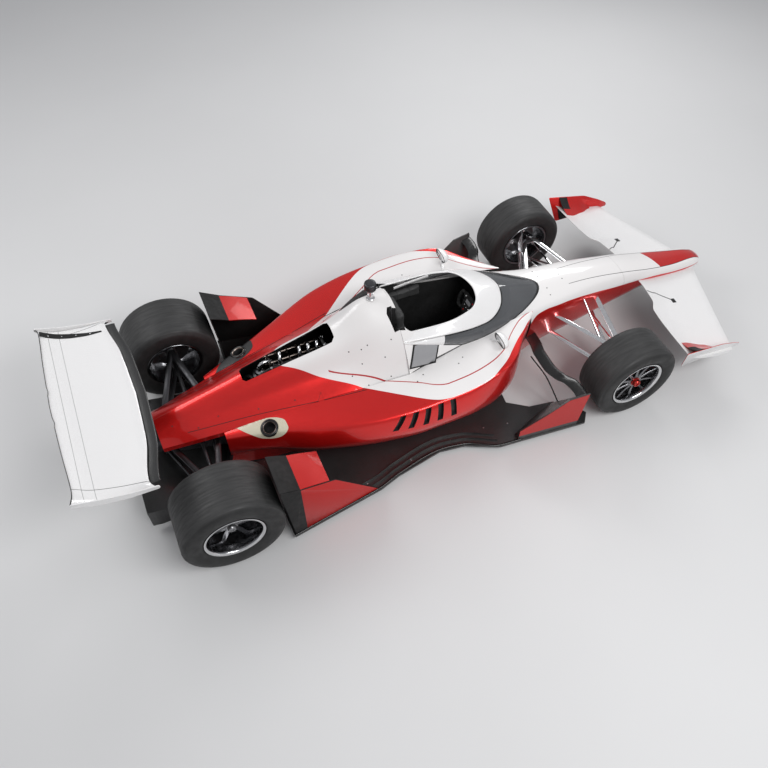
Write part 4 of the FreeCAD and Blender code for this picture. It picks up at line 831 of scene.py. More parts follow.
def shell_ring(share, scale=1):
    row = row_at(nose_rows, share)
    x = station(row[0])
    bottom = Vector((x, wide(row[1]), foot_z + high(row[2])))
    flank, shoulder, brow = [Vector((x, wide(row[i]), high(row[i + 1]))) for i in (3, 5, 7)]
    crown = Vector((x, 0, high(row[9])))
    mid = Vector((x, brow.y * crown_width_share, brow.z + (crown.z - brow.z) * crown_height_share))
    half = [Vector((x, 0, bottom.z))] + fair([bottom, flank, shoulder, brow, mid, crown], 30, True)
    heart = (bottom.z + crown.z) / 2
    return mirrored([Vector((p.x, p.y * scale, heart + (p.z - heart) * scale)) for p in half], 1)


def shoulder_notch(thing, side, plan):
    boolean(thing, prism([(x, side * y) for x, y in plan], 0.745, 1.3), black)


def nose_and_tub():
    tip, rear = nose_rows[0][0], nose_rows[-1][0]
    rings = [shell_ring(tip, 0.80), shell_ring(tip + 0.0003, 0.93)]
    rings += [shell_ring(share) for share in spread(tip + 0.001, bulkhead_share - 0.0002, 30)]
    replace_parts(loft("nose_shell", rings, paint, sharp=40), "nose_cone")
    rings = [shell_ring(share) for share in spread(bulkhead_share + 0.0003, rear, 60)]
    tub = loft("tub_shell", rings, paint, sharp=40)
    low_x, high_x = station(0.512), station(0.200)
    boolean(tub, prism(rounded(low_x, high_x, 0.25, 0.06, 0.245, 14), high(0.094), 1.2), black)
    footwell = [(high_x - 0.06, -0.135), (1.369, -0.135), (1.369, 0.135), (high_x - 0.06, 0.135)]
    boolean(tub, prism(footwell, high(0.226), high(0.415)), black)
    for side in (-1, 1):
        line = [(station(s), side * (wide(w) - seam_gap)) for s, w in split_rows[:2]]
        outside = line + [(line[1][0] - 0.05, line[1][1]), (line[1][0] - 0.05, side), (line[0][0], side)]
        boolean(tub, prism(outside, -0.1, 1.3), carbon_dark)
        shoulder_notch(tub, side, [(-0.26, 0.10), (-0.26, 0.244), (-0.305, 0.244), (-0.305, 0.10)])
    rack_x, rack_z = front_axle.x + 0.120, front_axle.z - 0.052
    bore = [(rack_x + 0.0125 * c, -0.6, rack_z + 0.0125 * s) for c, s in circle(20)]
    boolean(tub, tilted_prism(bore, (0, 1.2, 0)), black)
    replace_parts(tub, "monocoque")
    tank_x, rear_x = station(0.620), station(rear)
    block = prism([(tank_x, 0.25), (tank_x, -0.25), (rear_x, -0.25), (rear_x, 0.25)], foot_z, high(0.623))
    mesh = block.data
    bpy.data.objects.remove(block)
    dress("fuel_cell_bulkhead", mesh, carbon_dark, sharp=35, slot="")
    return tub


def cover_half(share, wall=0):
    """Section of the cover from its left edge over the top to its right edge, or its inner wall."""
    row = row_at(cover_rows, share)
    x = station(share)
    half = split_y(share) - seam_gap
    z = high(row[2])
    spots = [(x, half, z)] + [(x, wide(row[i]), high(row[i + 1])) for i in (3, 5)] + [(x, 0, high(row[7]))]
    side = [Vector((x, half, z - 0.04)), Vector((x, half, z - 0.02))] + fair(spots, 30, True)
    if wall:
        steps = [ahead for _, ahead in neighbours(side)][:-1] + [Vector((0, -1, 0))]
        side = [p - Vector((0, ahead.z, -ahead.y)).normalized() * wall for p, ahead in zip(side, steps)]
        side[-1].y = 0
    return mirrored(side)


def engine_cover():
    shares = spread(cover_rows[0][0] + 0.0006, cover_rows[-1][0], 64)
    outer, inner = [[cover_half(share, wall) for share in shares] for wall in (0, 0.008)]
    cover = sheet_solid("engine_cover_shell", outer, inner, paint, black, sharp=40, slot="paint_red")
    front, rear = station(0.657), station(0.874)
    half = [(front, wide(0.09)), (front - 0.025, wide(0.119)), (rear + 0.02, wide(0.080)), (rear, wide(0.055))]
    boolean(cover, prism([(x, -y) for x, y in half] + half[::-1], 0.6, 1.2), black)
    for side in (-1, 1):
        plan = [(-0.28, 0.095), (-0.28, 0.244), (-0.338, 0.238), (-0.352, 0.130), (-0.335, 0.095)]
        shoulder_notch(cover, side, plan)
    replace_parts(cover, "engine_cover")
    return cover


def pod_ring(share, side):
    row = row_at(pod_rows, share)
    x = station(share)
    keel, under, widest, shoulder, deck, inner = [
        Vector((x, wide(row[i]), high(row[i + 1]))) for i in (1, 3, 5, 7, 9, 11)
    ]
    keel.z = foot_z + high(row[2])
    joint = split_y(share) + seam_gap
    keel_y = max(keel.y, joint)
    foot = Vector((x, keel.y + (under.y - keel.y) * foot_width_share, keel.z))
    foot.y = max(foot.y, keel_y + 0.004)
    under.y = max(under.y, foot.y + 0.002)
    part = min(max((deck.y - joint) / max(deck.y - inner.y, 0.001), 0.05), 1)
    last = Vector((x, joint, deck.z + (inner.z - deck.z) * part))
    deck.y = max(deck.y, joint + 0.004)
    shoulder.y = max(shoulder.y, deck.y + 0.003)
    half = [Vector((x, joint, keel.z)), Vector((x, max(keel_y, joint + 0.002), keel.z))]
    return sided(half + fair([foot, under, widest, shoulder, deck, last], 40), side)


def pod_side(share, z):
    """Outer Y of the left pod's flank at a station and height."""
    ring = pod_ring(share, 1)
    for a, b in zip(ring[3:], ring[4:]):
        if (a.z - z) * (b.z - z) <= 0 and a.z != b.z:
            return a.y + (b.y - a.y) * (z - a.z) / (b.z - a.z)
    return max(p.y for p in ring)


def inward(side):
    """Direction from outside and above onto the flank of a side pod."""
    return Vector((0.08, -side * 0.57, -0.818)).normalized()


port_outline = [
    (-1.541, 0.253, 0.500), (-1.441, 0.263, 0.518), (-1.341, 0.281, 0.528), (-1.253, 0.319, 0.540),
    (-1.211, 0.368, 0.544), (-1.208, 0.418, 0.537), (-1.238, 0.441, 0.509), (-1.292, 0.430, 0.474),
    (-1.385, 0.391, 0.465), (-1.447, 0.352, 0.486),
]


def exhaust_port(pod, side, hand):
    """Round outlet in the deck, with its flange, its rolled pipe and the heat panel around it."""
    tree = surface(pod)
    along = inward(side)
    around = ((0, 0), (0.04, 0), (-0.04, 0), (0, 0.03), (0, -0.04))
    spots = [Vector((dx - 1.327, side * (0.366 + dy), 0.525)) for dx, dy in around]
    mouth = landing(tree, spots[0], along)[0]
    normal = sum((landing(tree, spot, along)[1] for spot in spots), Vector()).normalized()
    outline = fair(sided(port_outline + port_outline[:1], side), 97)[:-1]
    hole = []
    for p in outline:
        flat = p - mouth
        flat -= normal * flat.dot(normal)
        hole.append(mouth + flat.normalized() * 0.050)
    panel = cream if side < 0 else carbon_dark
    draped(f"exhaust_panel_{hand}", outline, tree, panel, along, hole, slot="trim_black")
    boolean(pod, tilted_prism(spun(mouth, normal, [(0.0475, 0.03)], 40)[0], normal * -0.12), black)
    flange = [
        (0.0460, -0.016), (0.0460, 0.0050), (0.0500, 0.0085), (0.0575, 0.0075), (0.0625, 0.0030), (0.0625, -0.016),
    ]
    merged(f"exhaust_flange_{hand}", [spun(mouth, normal, flange, 56)], gloss_black, True)
    pipe = [
        (0.0425, -0.085), (0.0430, -0.004), (0.0450, 0.0010), (0.0455, 0.0045), (0.0440, 0.0060),
        (0.0410, 0.0040), (0.0392, -0.004), (0.0387, -0.085),
    ]
    ring = merged(f"exhaust_pipe_{hand}", [spun(mouth, normal, pipe, 48)], heat_metal, True, slot="dark_steel")
    paint_faces(ring, black, lambda spot, n: (spot - mouth).dot(normal) < -0.020)
    core = spun(mouth, normal, [(0.0388, -0.080), (0.0388, -0.084)], 32)
    loft(f"exhaust_core_{hand}", core, black, sharp=35, slot="dark_steel")
    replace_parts(ring, "exhausts")


def side_pod(side, hand):
    """A pod with its inlet, the outlet in its deck and five louvre slots."""
    shares = spread(pod_rows[0][0], pod_rows[-1][0] - 0.0005, 90)
    rings = [pod_ring(share, side) for share in shares]
    pod = loft(f"sidepod_shell_{hand}", rings, paint, sharp=40, slot="paint_red")
    low_z, top_z = high(0.311), high(0.538)
    plan = rounded(wide(0.431), wide(0.732), (top_z - low_z) / 2, 0.04, 0.04, 6)
    inlet = [(station(0.40), side * y, (top_z + low_z) / 2 + z) for y, z in plan[14:] + plan[:14]]
    boolean(pod, tilted_prism(inlet, (1.2, 0, 0)), carbon_dark)
    paint_faces(pod, matt_black, lambda spot, normal: normal.y * side < -0.9)
    exhaust_port(pod, side, hand)
    for index in range(5):
        low, top, inner = 0.4555 + 0.0345 * index, 0.4560 + 0.0290 * index, []
        for share, height in ((low, 0.460), (low + 0.0135, 0.460), (top + 0.0135, 0.594), (top, 0.594)):
            z = min(high(height), high(row_at(pod_rows, share)[8]) - 0.008)
            inner.append(Vector((station(share), side * (pod_side(share, z) - 0.024), z)))
        boolean(pod, block_between(inner, [Vector((p.x, side * 0.9, p.z)) for p in inner]), black)
    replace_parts(pod, f"sidepod_{hand}")
    return pod


tub_skin = nose_and_tub()
cover_skin = engine_cover()
pod_skins = both_sides(side_pod)

# Cockpit screen: the white frame, the smoked glass under it and its dark seals
frame_rows = [
    (0.520, 0.310, 0.835, 0.520, 0.400, 0.815), (0.408, 0.320, 0.811, 0.408, 0.412, 0.760),
    (0.336, 0.262, 0.809, 0.307, 0.379, 0.722), (0.309, 0.144, 0.808, 0.249, 0.222, 0.731),
    (0.301, 0.000, 0.807, 0.230, 0.000, 0.742),
]
foot_plan = [
    (-0.297, 0.312), (-0.006, 0.334), (0.132, 0.344), (0.231, 0.347), (0.307, 0.344), (0.390, 0.334), (0.475, 0.314),
    (0.579, 0.279), (0.700, 0.229), (0.842, 0.150), (0.918, 0.096), (0.962, 0.045), (0.976, 0.000),
]
glass_rear_x = 0.0
screen_columns = 81
frame_thickness = 0.016


def arch(rows, at):
    """Smooth path from the left rear around the front to the right rear."""
    left = [Vector((station(row[at]), wide(row[at + 1]), high(row[at + 2]))) for row in rows]
    return fair(mirrored(left), screen_columns)


def parted(path, x):
    """An arch cut where it passes an X: its left rear, front and right rear stretches."""
    ahead = [i for i, p in enumerate(path) if p.x > x]
    first, last = ahead[0], ahead[-1]

    def crossing(a, b):
        return a.lerp(b, (x - a.x) / (b.x - a.x))

    start = crossing(path[first - 1], path[first])
    end = crossing(path[last + 1], path[last])
    return path[:first] + [start], [start] + path[first:last + 1] + [end], [end] + path[last + 1:]


def screen_grid(top, foot, skin, rows=9):
    """Rows of points and normals from the ring's edge down to the body, kept clear above its skin."""
    count = len(top)
    grid = []
    for r in range(rows):
        t = r / (rows - 1)
        line, normals = [], []
        for i in range(count):
            p = top[i].lerp(foot[i], t)
            a, b = max(i - 1, 0), min(i + 1, count - 1)
            along = top[b].lerp(foot[b], t) - top[a].lerp(foot[a], t)
            out = along.cross(foot[i] - top[i]).normalized()
            if out.dot(p - Vector((0.1, 0, 0.5))) < 0:
                out = -out
            p = p + out * (0.010 * sin(pi * t))
            ground = landing(skin, p, DOWN)[0].z
            if r == rows - 1:
                p.z = ground - 0.002
            elif p.z < ground + 0.004:
                p.z = ground + 0.004
            line.append(p)
            normals.append(out)
        grid.append((line, normals))
    return grid


def raised(rows, height):
    """Rows of points moved along their normals."""
    return [[p + n * height for p, n in zip(*row)] for row in rows]


def screen_pieces():
    inner, outer = arch(frame_rows, 0), arch(frame_rows, 3)
    half = frame_thickness / 2
    rings = []
    for (p, along), q in zip(neighbours(inner), outer):
        across = (q - p) / 2
        up = along.cross(across).normalized()
        up = -up if up.z < 0 else up
        centre = (p + q) / 2 - UP * half
        rings.append([centre + across * c + up * (half * s) for c, s in circle(24, 0.75, 0.5)])
    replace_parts(loft("screen_frame_ring", rings, white), "screen_frame")
    top = [p - UP * (frame_thickness + 0.0005) for p in outer]
    skin = surface(tub_skin, cover_skin, *pod_skins)
    foot = fair(mirrored([Vector((x, y, 0.9)) for x, y in foot_plan]), screen_columns * 2)
    foot = [landing(skin, p, DOWN)[0] for p in foot]
    rear_left, front, rear_right = [
        (resampled(a, count), resampled(b, count))
        for a, b, count in zip(parted(top, glass_rear_x + 0.010), parted(foot, glass_rear_x - 0.006), (15, 73, 15))
    ]
    glass = screen_grid(*front, skin)
    made = sheet_solid("smoked_screen_glass", [rows[0] for rows in glass], raised(glass, -0.005), screen)
    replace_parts(made, "screen_glass")
    for hand, lines in (("left", rear_left), ("right", rear_right)):
        rows = screen_grid(*lines, skin)
        sheet_solid(f"screen_side_{hand}", [row[0] for row in rows], raised(rows, -0.005), white)
    for index, (near, shares) in enumerate([(0, (0, 0.3)), (7, (0.5, 1))]):
        pair = raised(glass[near:near + 2], 0.0012)
        lines = [[a.lerp(b, share) for a, b in zip(*pair)] for share in shares]
        under = raised([(line, glass[near][1]) for line in lines], -0.008)
        sheet_solid(f"screen_seal_{index}", lines, under, gloss_black, sharp=60)
    inside = raised(glass[:3], -0.0062)
    behind = raised([(line, glass[0][1]) for line in inside], -0.0020)
    sheet_solid("screen_shade_band", inside, behind, gloss_black, sharp=60)
    ends = [line[36] - Vector((0.045, 0, drop)) for line, drop in zip(front, (0.004, 0.003))]
    loft("screen_strut", blade_rings(*ends, 0.034, 0.018), gloss_black, sharp=35)


screen_pieces()

# Wings
upper_shares = [(0.04, 0.25), (0.25, -0.35), (0.50, -0.80), (0.75, -0.90)]
lower_shares = [(0.02, 0.00, 0.50), (0.25, -0.35, 1.00), (0.50, -0.80, 0.90), (0.75, -0.90, 0.55)]


def wing_ring(lead, trail, thickness, camber, parts=18):
    chord = trail - lead
    normal = Vector((0, 1, 0)).cross(chord).normalized()
    if normal.z < 0:
        normal = -normal
    upper = [lead + chord * c + normal * (camber * h) for c, h in upper_shares]
    lower = [lead + chord * c + normal * (camber * h - thickness * t) for c, h, t in reversed(lower_shares)]
    trail_low = trail - normal * 0.003
    return fair([lead] + upper + [trail], parts)[:-1] + [trail] + fair([trail_low] + lower + [lead], parts)[:-1]


def edges_at(rows, width, side):
    """Leading and trailing edge at a half width, from rows that start with the width."""
    row = row_at(rows, width)
    return [Vector((station(row[i]), side * wide(row[0]), high(row[i + 2]))) for i in (1, 2)]


front_wing_rows = [
    (0.078, -0.3840, -0.1810, 0.283, 0.408), (0.235, -0.3720, -0.1804, 0.280, 0.408),
    (0.380, -0.3600, -0.1760, 0.278, 0.407), (0.490, -0.3520, -0.1710, 0.276, 0.406),
    (0.600, -0.3434, -0.1550, 0.274, 0.404), (0.822, -0.3269, -0.1500, 0.267, 0.396),
    (1.240, -0.2960, -0.1470, 0.255, 0.387),
]
rear_wing_rows = [
    (0.000, 1.0935, 1.2556, 0.823, 0.936), (0.497, 1.0997, 1.2524, 0.826, 0.930),
    (0.842, 1.1152, 1.2491, 0.830, 0.923), (0.889, 1.1160, 1.2505, 0.828, 0.921),
    (0.924, 1.1130, 1.2540, 0.818, 0.916), (0.9425, 1.1071, 1.2575, 0.798, 0.906),
]


def front_wing(side, hand):
    widths = spread(front_wing_rows[0][0], front_wing_rows[-1][0], 48)
    rings = [wing_ring(*edges_at(front_wing_rows, width, side), 0.034, 0.018) for width in widths]
    wing = loft(f"front_wing_plane_{hand}", rings, wing_white, sharp=45)
    paint_faces(wing, carbon_dark, lambda centre, normal: normal.z < -0.35)
    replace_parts(wing, "front_wing")
    return wing


def rear_wing():
    """The plane, with its upright strip behind and the slat under its leading edge."""
    widths = spread(rear_wing_rows[0][0], rear_wing_rows[-1][0], 40)
    plane, strip, slat = [], [], []
    for side, width in [(1, width) for width in widths[::-1]] + [(-1, width) for width in widths[1:]]:
        lead, trail = edges_at(rear_wing_rows, width, side)
        plane.append(wing_ring(lead, trail, 0.030, 0.034, 22))
        notch = 0.006 * max(0, 1 - abs(width - 0.17) / 0.05)
        section = ((0, 0), (-0.004, 0.001), (-0.003, 0.013), (0.002, 0.013))
        strip.append([trail + Vector((notch - 0.001 + dx, 0, dz - 0.004)) for dx, dz in section])
        if width < 0.90:
            slat.append(blade_rings(lead + Vector((0.012, 0, -0.026)), lead, 0.100, 0.016)[0])
    wing = loft("rear_wing_plane", plane, rear_wing_white, sharp=45)
    paint_faces(wing, carbon_dark, lambda centre, normal: normal.z < -0.2)
    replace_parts(wing, "rear_wing")
    loft("rear_wing_gurney", strip, gloss_black, sharp=40, slot="carbon")
    loft("rear_wing_leading_slat", slat, carbon_dark)
    return wing


def side_plate(name, outline, side, y_at, thickness, material, bevel=0.0015, **extra):
    """A thin upright plate; y_at gives its inner face's distance from the centre plane at an X and Z."""
    rings = plate(outline, lambda x, z, depth: Vector((x, side * (y_at(x, z) + depth), z)), thickness, bevel)
    return loft(name, rings, material, **extra)


def front_plate_y(x, z):
    return wide(1.190) + (z - high(0.247)) * 0.25


def front_endplate(side, hand):
    shares = [
        (-0.322, 0.247), (-0.289, 0.247), (-0.147, 0.247), (-0.124, 0.472), (-0.244, 0.396), (-0.293, 0.325),
        (-0.322, 0.274),
    ]
    outline = soft_outline([(station(s), high(h)) for s, h in shares], 0.018)
    made = side_plate(
        f"front_endplate_{hand}", outline, side, lambda x, z: front_plate_y(x, z) + 0.0005, 0.0075, white,
        slot="paint_red",
    )
    paint_faces(made, red, lambda centre, normal: normal.y * side < 0.2)
    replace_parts(made, "front_endplates")
    scoop = soft_outline([(1.78, 0.38), (2.006, 0.304), (2.03, 0.268), (1.80, 0.268)], 0.012)
    side_plate(
        f"front_endplate_foot_{hand}", scoop, side, lambda x, z: front_plate_y(x, z) - 0.0045, 0.004, gloss_black,
        0.0008, slot="carbon",
    )


def rear_endplate(side, hand):
    shares = [
        (1.100, 0.785), (1.158, 0.790), (1.210, 0.822), (1.2593, 0.890), (1.2593, 0.922), (1.205, 0.870),
        (1.150, 0.832), (1.100, 0.812),
    ]
    outline = soft_outline([(station(s), high(h)) for s, h in shares], 0.015)
    made = side_plate(f"rear_endplate_{hand}", outline, side, lambda x, z: wide(0.944) + 0.0006, 0.0058, white)
    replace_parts(made, "rear_endplates")


front_wings = both_sides(front_wing)
rear_wing_skin = rear_wing()
both_sides(front_endplate)
both_sides(rear_endplate)


# Suspension legs, rods and eyes
def suspension(side, hand):
    def spot(share, width, z):
        return Vector((station(share), side * wide(width), z))

    def eye(axle, inset, height, ahead=0):
        return Vector((axle.x + ahead, side * (axle.y - inset), axle.z + height))

    upper, lower, foot = eye(front_axle, 0.085, 0.12), eye(front_axle, 0.085, -0.12), eye(front_axle, 0.145, -0.12)
    lofts = [blade_rings(a, b, 0.044, 0.0155, 24) for a, b in (
        (upper, spot(-0.038, 0.185, upper.z + 0.0324)), (upper, spot(0.096, 0.235, upper.z + 0.0216)),
        (lower, spot(-0.053, 0.150, lower.z + 0.0312)), (lower, spot(0.100, 0.200, lower.z + 0.0660)),
    )]
    lofts.append(bar_rings([foot, spot(0.006, 0.200, upper.z + 0.0912)], 0.0088, 20))
    socket = [
        (0.0098, -0.0115), (0.0155, -0.0115), (0.0168, -0.009), (0.0168, 0.009), (0.0155, 0.0115), (0.0098, 0.0115),
    ]
    lofts += [spun(heart, UP, socket, 28) for heart in (upper, lower)]
    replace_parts(merged(f"front_legs_{hand}", lofts, chrome, sharp=45), f"front_suspension_{hand}")
    top, low = [eye(rear_axle, 0.120, height) for height in (0.096, -0.096)]
    lofts = [blade_rings(a, b, 0.045, 0.0155, 24) for a, b in (
        (top, spot(0.955, 0.110, high(0.358))), (top, spot(1.072, 0.095, high(0.330))),
        (low, spot(0.930, 0.120, high(0.179))), (low, spot(1.075, 0.082, high(0.240))),
    )]
    toe, push = eye(rear_axle, 0.120, -0.06, -0.042), eye(rear_axle, 0.180, -0.096, 0.046)
    lofts.append(blade_rings(toe, spot(1.082, 0.082, high(0.280)), 0.023, 0.0155))
    lofts.append(bar_rings([push, spot(0.975, 0.105, high(0.370))], 0.0088, 20))
    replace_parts(merged(f"rear_legs_{hand}", lofts, dark_metal, sharp=45), f"rear_suspension_{hand}")


both_sides(suspension)


# Rims, hubs, discs and nuts
def spoke_rings(centre, side, face_out, width, foot, angle):
    """One spoke from the boss to the barrel, with a rounded front face that dips midway."""
    turn = Matrix.Rotation(angle, 4, "Y")
    rings = []
    for r, part, depth, dip in (
        (0.040, 0.0, 0.024, 0.0), (0.060, 0.14, 0.0235, 0.001), (0.090, 0.33, 0.021, 0.004),
        (0.120, 0.54, 0.019, 0.005), (0.150, 0.75, 0.020, 0.003), (0.172, 0.90, 0.0225, 0.001),
        (0.1865, 1.0, 0.024, 0.0),
    ):
        half = (foot + (width - foot) * part) / 2
        front, back = face_out - dip, face_out - dip - depth
        if r > 0.16:
            half *= 1 + (r - 0.16) * 12
        corner = min(half * 0.5, 0.004)
        section = [
            (-half, back + corner), (-half, front - corner), (-half + corner * 0.4, front - corner * 0.35),
            (-half + corner, front), (half - corner, front), (half - corner * 0.4, front - corner * 0.35),
            (half, front - corner), (half, back + corner), (half - corner, back), (-half + corner, back),
        ]
        rings.append([centre + turn @ Vector((a, side * out, r)) for a, out in section])
    return rings


def wheel_metalwork(side, hand, end):
    tag, body = f"{end}_{hand}", f"wheel_{end}_{hand}"
    centre, _, half = wheel_box(end, hand)
    half -= 0.012
    face_out, count, width, foot_share, inner = (
        (0.106, 10, 0.018, 1.3, 0.095) if end == "front" else (0.090, 7, 0.028, 1.6, 0.120)
    )
    profile = [
        (half - 0.0005, 0.2035), (half - 0.002, 0.2048), (half - 0.004, 0.2035), (half - 0.0075, 0.1905),
        (half - 0.030, 0.1865), (-half + 0.030, 0.1865), (-half + 0.0075, 0.1905), (-half + 0.004, 0.2035),
        (-half + 0.002, 0.2048), (-half + 0.0005, 0.2035), (-half + 0.003, 0.1885), (-half + 0.03, 0.1815),
        (half - 0.030, 0.1815), (half - 0.010, 0.1845), (half - 0.003, 0.1905), (half, 0.2020),
    ]
    barrel = turned_piece("rim_barrel", side, hand, end, profile, 96, wheel_metal)
    paint_faces(
        barrel, polished,
        lambda spot, normal: (spot.y - centre.y) * side > half - 0.012 and normal.y * side > -0.3,
    )
    spokes = [
        spoke_rings(centre, side, face_out, width, width * foot_share, 2 * pi * k / count) for k in range(count)
    ]
    merged(f"rim_spokes_{tag}", spokes, wheel_metal, body=body, sharp=40)
    boss = [
        (face_out - 0.024, 0.026), (face_out - 0.024, 0.050), (face_out - 0.003, 0.052), (face_out, 0.049),
        (face_out, 0.026),
    ]
    turned_piece("rim_boss", side, hand, end, boss, 48, wheel_metal, sharp=40)
    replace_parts(barrel, f"rim_{tag}")
    disc = [
        (-0.035, 0.042), (-0.035, 0.139), (-0.034, 0.140), (-0.023, 0.140), (-0.022, 0.137), (-0.018, 0.137),
        (-0.017, 0.140), (-0.006, 0.140), (-0.005, 0.139), (-0.005, 0.042),
    ]
    turned_piece("brake_disc", side, hand, end, disc, 72, disc_metal, sharp=35)
    shoulder = face_out - 0.0245
    sleeve = [
        (-inner, 0.0004), (-inner, 0.0245), (-0.035, 0.0248), (-0.035, 0.042), (-0.005, 0.042), (-0.003, 0.040),
        (shoulder - 0.004, 0.040), (shoulder, 0.037), (shoulder, 0.0248), (face_out + 0.001, 0.0248),
        (face_out + 0.001, 0.0004),
    ]
    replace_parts(turned_piece("hub_sleeve", side, hand, end, sleeve, 48, alloy, sharp=35), f"hub_{tag}")
    nut = []
    for out, r, hexed in (
        (0.0006, 0.0345, 0), (0.006, 0.0355, 0), (0.0075, 0.031, 1), (0.026, 0.0295, 1), (0.030, 0.0265, 1),
        (0.0335, 0.0235, 0), (0.034, 0.016, 0), (0.028, 0.0145, 0), (0.027, 0.004, 0),
    ):
        reaches = [r * (1 - 0.10 * hexed * (0.5 + 0.5 * cos(pi * k / 3))) for k in range(36)]
        spots = [(reach * c, side * (face_out + out), reach * s) for reach, (c, s) in zip(reaches, circle(36))]
        nut.append([centre + Vector(spot) for spot in spots])
    loft(f"wheel_nut_{tag}", nut, red_metal if end == "front" else alloy, body=body, sharp=30)
    pins = []
    for k in range(count):
        angle = 2 * pi * (k + 0.5) / count
        spot = centre + Vector((0.044 * cos(angle), side * face_out, 0.044 * sin(angle)))
        pins.append(bar_rings([spot, spot + Vector((0, side * 0.003, 0))], 0.0035, 10))
    merged(f"boss_bolts_{tag}", pins, chrome, body=body, sharp=30, slot="hub_steel")
    if end == "rear":
        root = Vector((centre.x, side * 0.127, centre.z))
        tip = Vector((centre.x, side * (rear_axle.y - inner + 0.002), centre.z))
        path = [root.lerp(tip, share) for share in (0, 0.10, 0.12, 0.88, 0.90, 1)]
        radii = [0.0168, 0.0168, 0.0140, 0.0140, 0.0168, 0.0168]
        bar(f"driveshaft_{hand}", path, radii, dark_metal, 24, body=body, slot="hub_steel")


for end in ENDS:
    both_sides(wheel_metalwork, end)

# Turning vanes, with a red outer panel on a black wedge, and the curved blade
vane_rows = [
    (0.147, 0.135, 0.344, 0.255), (0.175, 0.186, 0.334, 0.300), (0.240, 0.240, 0.214, 0.190),
    (0.300, 0.300, 0.104, 0.070),
]
blade_rows = [
    (0.160, 0.250, 0.340), (0.163, 0.430, 0.340), (0.170, 0.560, 0.340), (0.172, 0.760, 0.340),
    (0.163, 0.900, 0.340), (0.150, 1.010, 0.350), (0.147, 1.130, 0.355), (0.150, 1.215, 0.360),
]


def vane_y(x):
    part = (station(0.130) - x) / (station(0.130) - station(0.292))
    return wide(1.235) + (wide(1.165) - wide(1.235)) * part


def vane(side, hand):
    rings, face = [], []
    for foot_share, top_share, height, inset in vane_rows:
        foot, top = [
            Vector((x, vane_y(x), z))
            for x, z in ((station(foot_share), foot_z), (station(top_share), foot_z + high(height)))
        ]
        heel, ridge = foot - Vector((0, wide(inset), 0)), top - Vector((0, 0.008, 0))
        slope = [ridge.lerp(heel, t) - Vector((0, 0.03 * sin(pi * t) * inset, 0)) for t in (0.25, 0.5, 0.75)]
        rings.append(sided([foot, top, ridge] + slope + [heel], side))
        face.append([foot.lerp(top, 0.045 / (top.z - foot.z)), foot.lerp(top, 0.97)])
    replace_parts(loft(f"turning_vane_{hand}", rings, carbon, sharp=30), "turning_vanes")
    outer, inner = [
        [sided([p + Vector((0, out, 0)) for p in line], side) for line in face] for out in (0.0014, -0.001)
    ]
    sheet_solid(f"vane_panel_{hand}", outer, inner, ramp_red, sharp=40)
    path = fair([(station(s), wide(w), high(h)) for s, w, h in blade_rows], 40)
    blade = [sided(blade_rings(p, p, 0.095, 0.012, 24)[0], side) for p in path]
    loft(f"vane_blade_{hand}", blade, gloss_black, slot="carbon")
    stay = sided([(0.700, 0.44, 0.372), (0.800, 0.585, 0.19), (0.830, 0.74, 0.051)], side)
    bar(f"vane_stay_{hand}", fair(stay, 12), 0.005, gloss_black, 12, slot="carbon")


both_sides(vane)

# Ramps ahead of the rear tyres: red panels with black rear facets
ramp_foot_x = rear_axle.x + 0.347 + 0.042
ramp_length = 0.660


def ramp_piece(side, hand):
    def place(share, height):
        return ramp_foot_x + share * ramp_length, foot_z + high(height)

    def line(x):
        """Distance of the outer side from the centre plane."""
        return wide(1.242) - wide(0.130) * (x - ramp_foot_x) / ramp_length

    def across(x, z, share):
        return Vector((x, side * (wide(0.852) + (line(x) - 0.009 - wide(0.852)) * share), z))

    corners = ((1.000, 0.000), (0.505, 0.405), (0.131, 0.493), (-0.075, 0.560), (0.000, 0.000))
    outline = soft_outline([place(*row) for row in corners], 0.012)
    wall = side_plate(f"ramp_side_{hand}", outline, side, lambda x, z: line(x) - 0.008, 0.0078, ramp_red)
    paint_faces(wall, matt_black, lambda spot, normal: normal.y * side < 0.9)
    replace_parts(wall, "wheel_ramps")
    spots = [place(*row) for row in ((0.440, 0.420), (0.131, 0.493), (-0.075, 0.560))]
    for name, (a, b), material in (("top", spots[:2], ramp_red), ("rear_facet", spots[1:], matt_black)):
        top = []
        for t in spread(0, 1, 7):
            x = a[0] + (b[0] - a[0]) * t
            z = a[1] + (b[1] - a[1]) * t + 0.004 * sin(pi * t) - 0.0005
            top.append([across(x, z + 0.003 * sin(pi * share), share) for share in spread(0, 1, 9)])
        under = [[p - UP * 0.0065 for p in row] for row in top]
        sheet_solid(f"ramp_{name}_{hand}", top, under, material, sharp=40, slot="paint_red")
    split, (top_x, top_z) = spots[1:]
    front = []
    for t in spread(0, 1, 6):
        x, z = ramp_foot_x + (top_x - ramp_foot_x) * t, foot_z + 0.001 + (top_z - 0.010 - foot_z) * t
        front.append([across(x, z, share) + Vector((0.0075, 0, 0)) for share in spread(0, 1, 7)])
    back = [[p - Vector((0.007, 0, 0)) for p in row] for row in front]
    sheet_solid(f"ramp_wall_{hand}", front, back, matt_black, sharp=40, slot="carbon")
    facet = soft_outline([(split[0], foot_z + 0.001), split, (top_x, top_z), (ramp_foot_x, foot_z + 0.001)], 0.002)
    side_plate(
        f"ramp_side_facet_{hand}", facet, side, lambda x, z: line(x) - 0.0012, 0.0020, matt_black, 0.0002,
        slot="carbon",
    )


both_sides(ramp_piece)
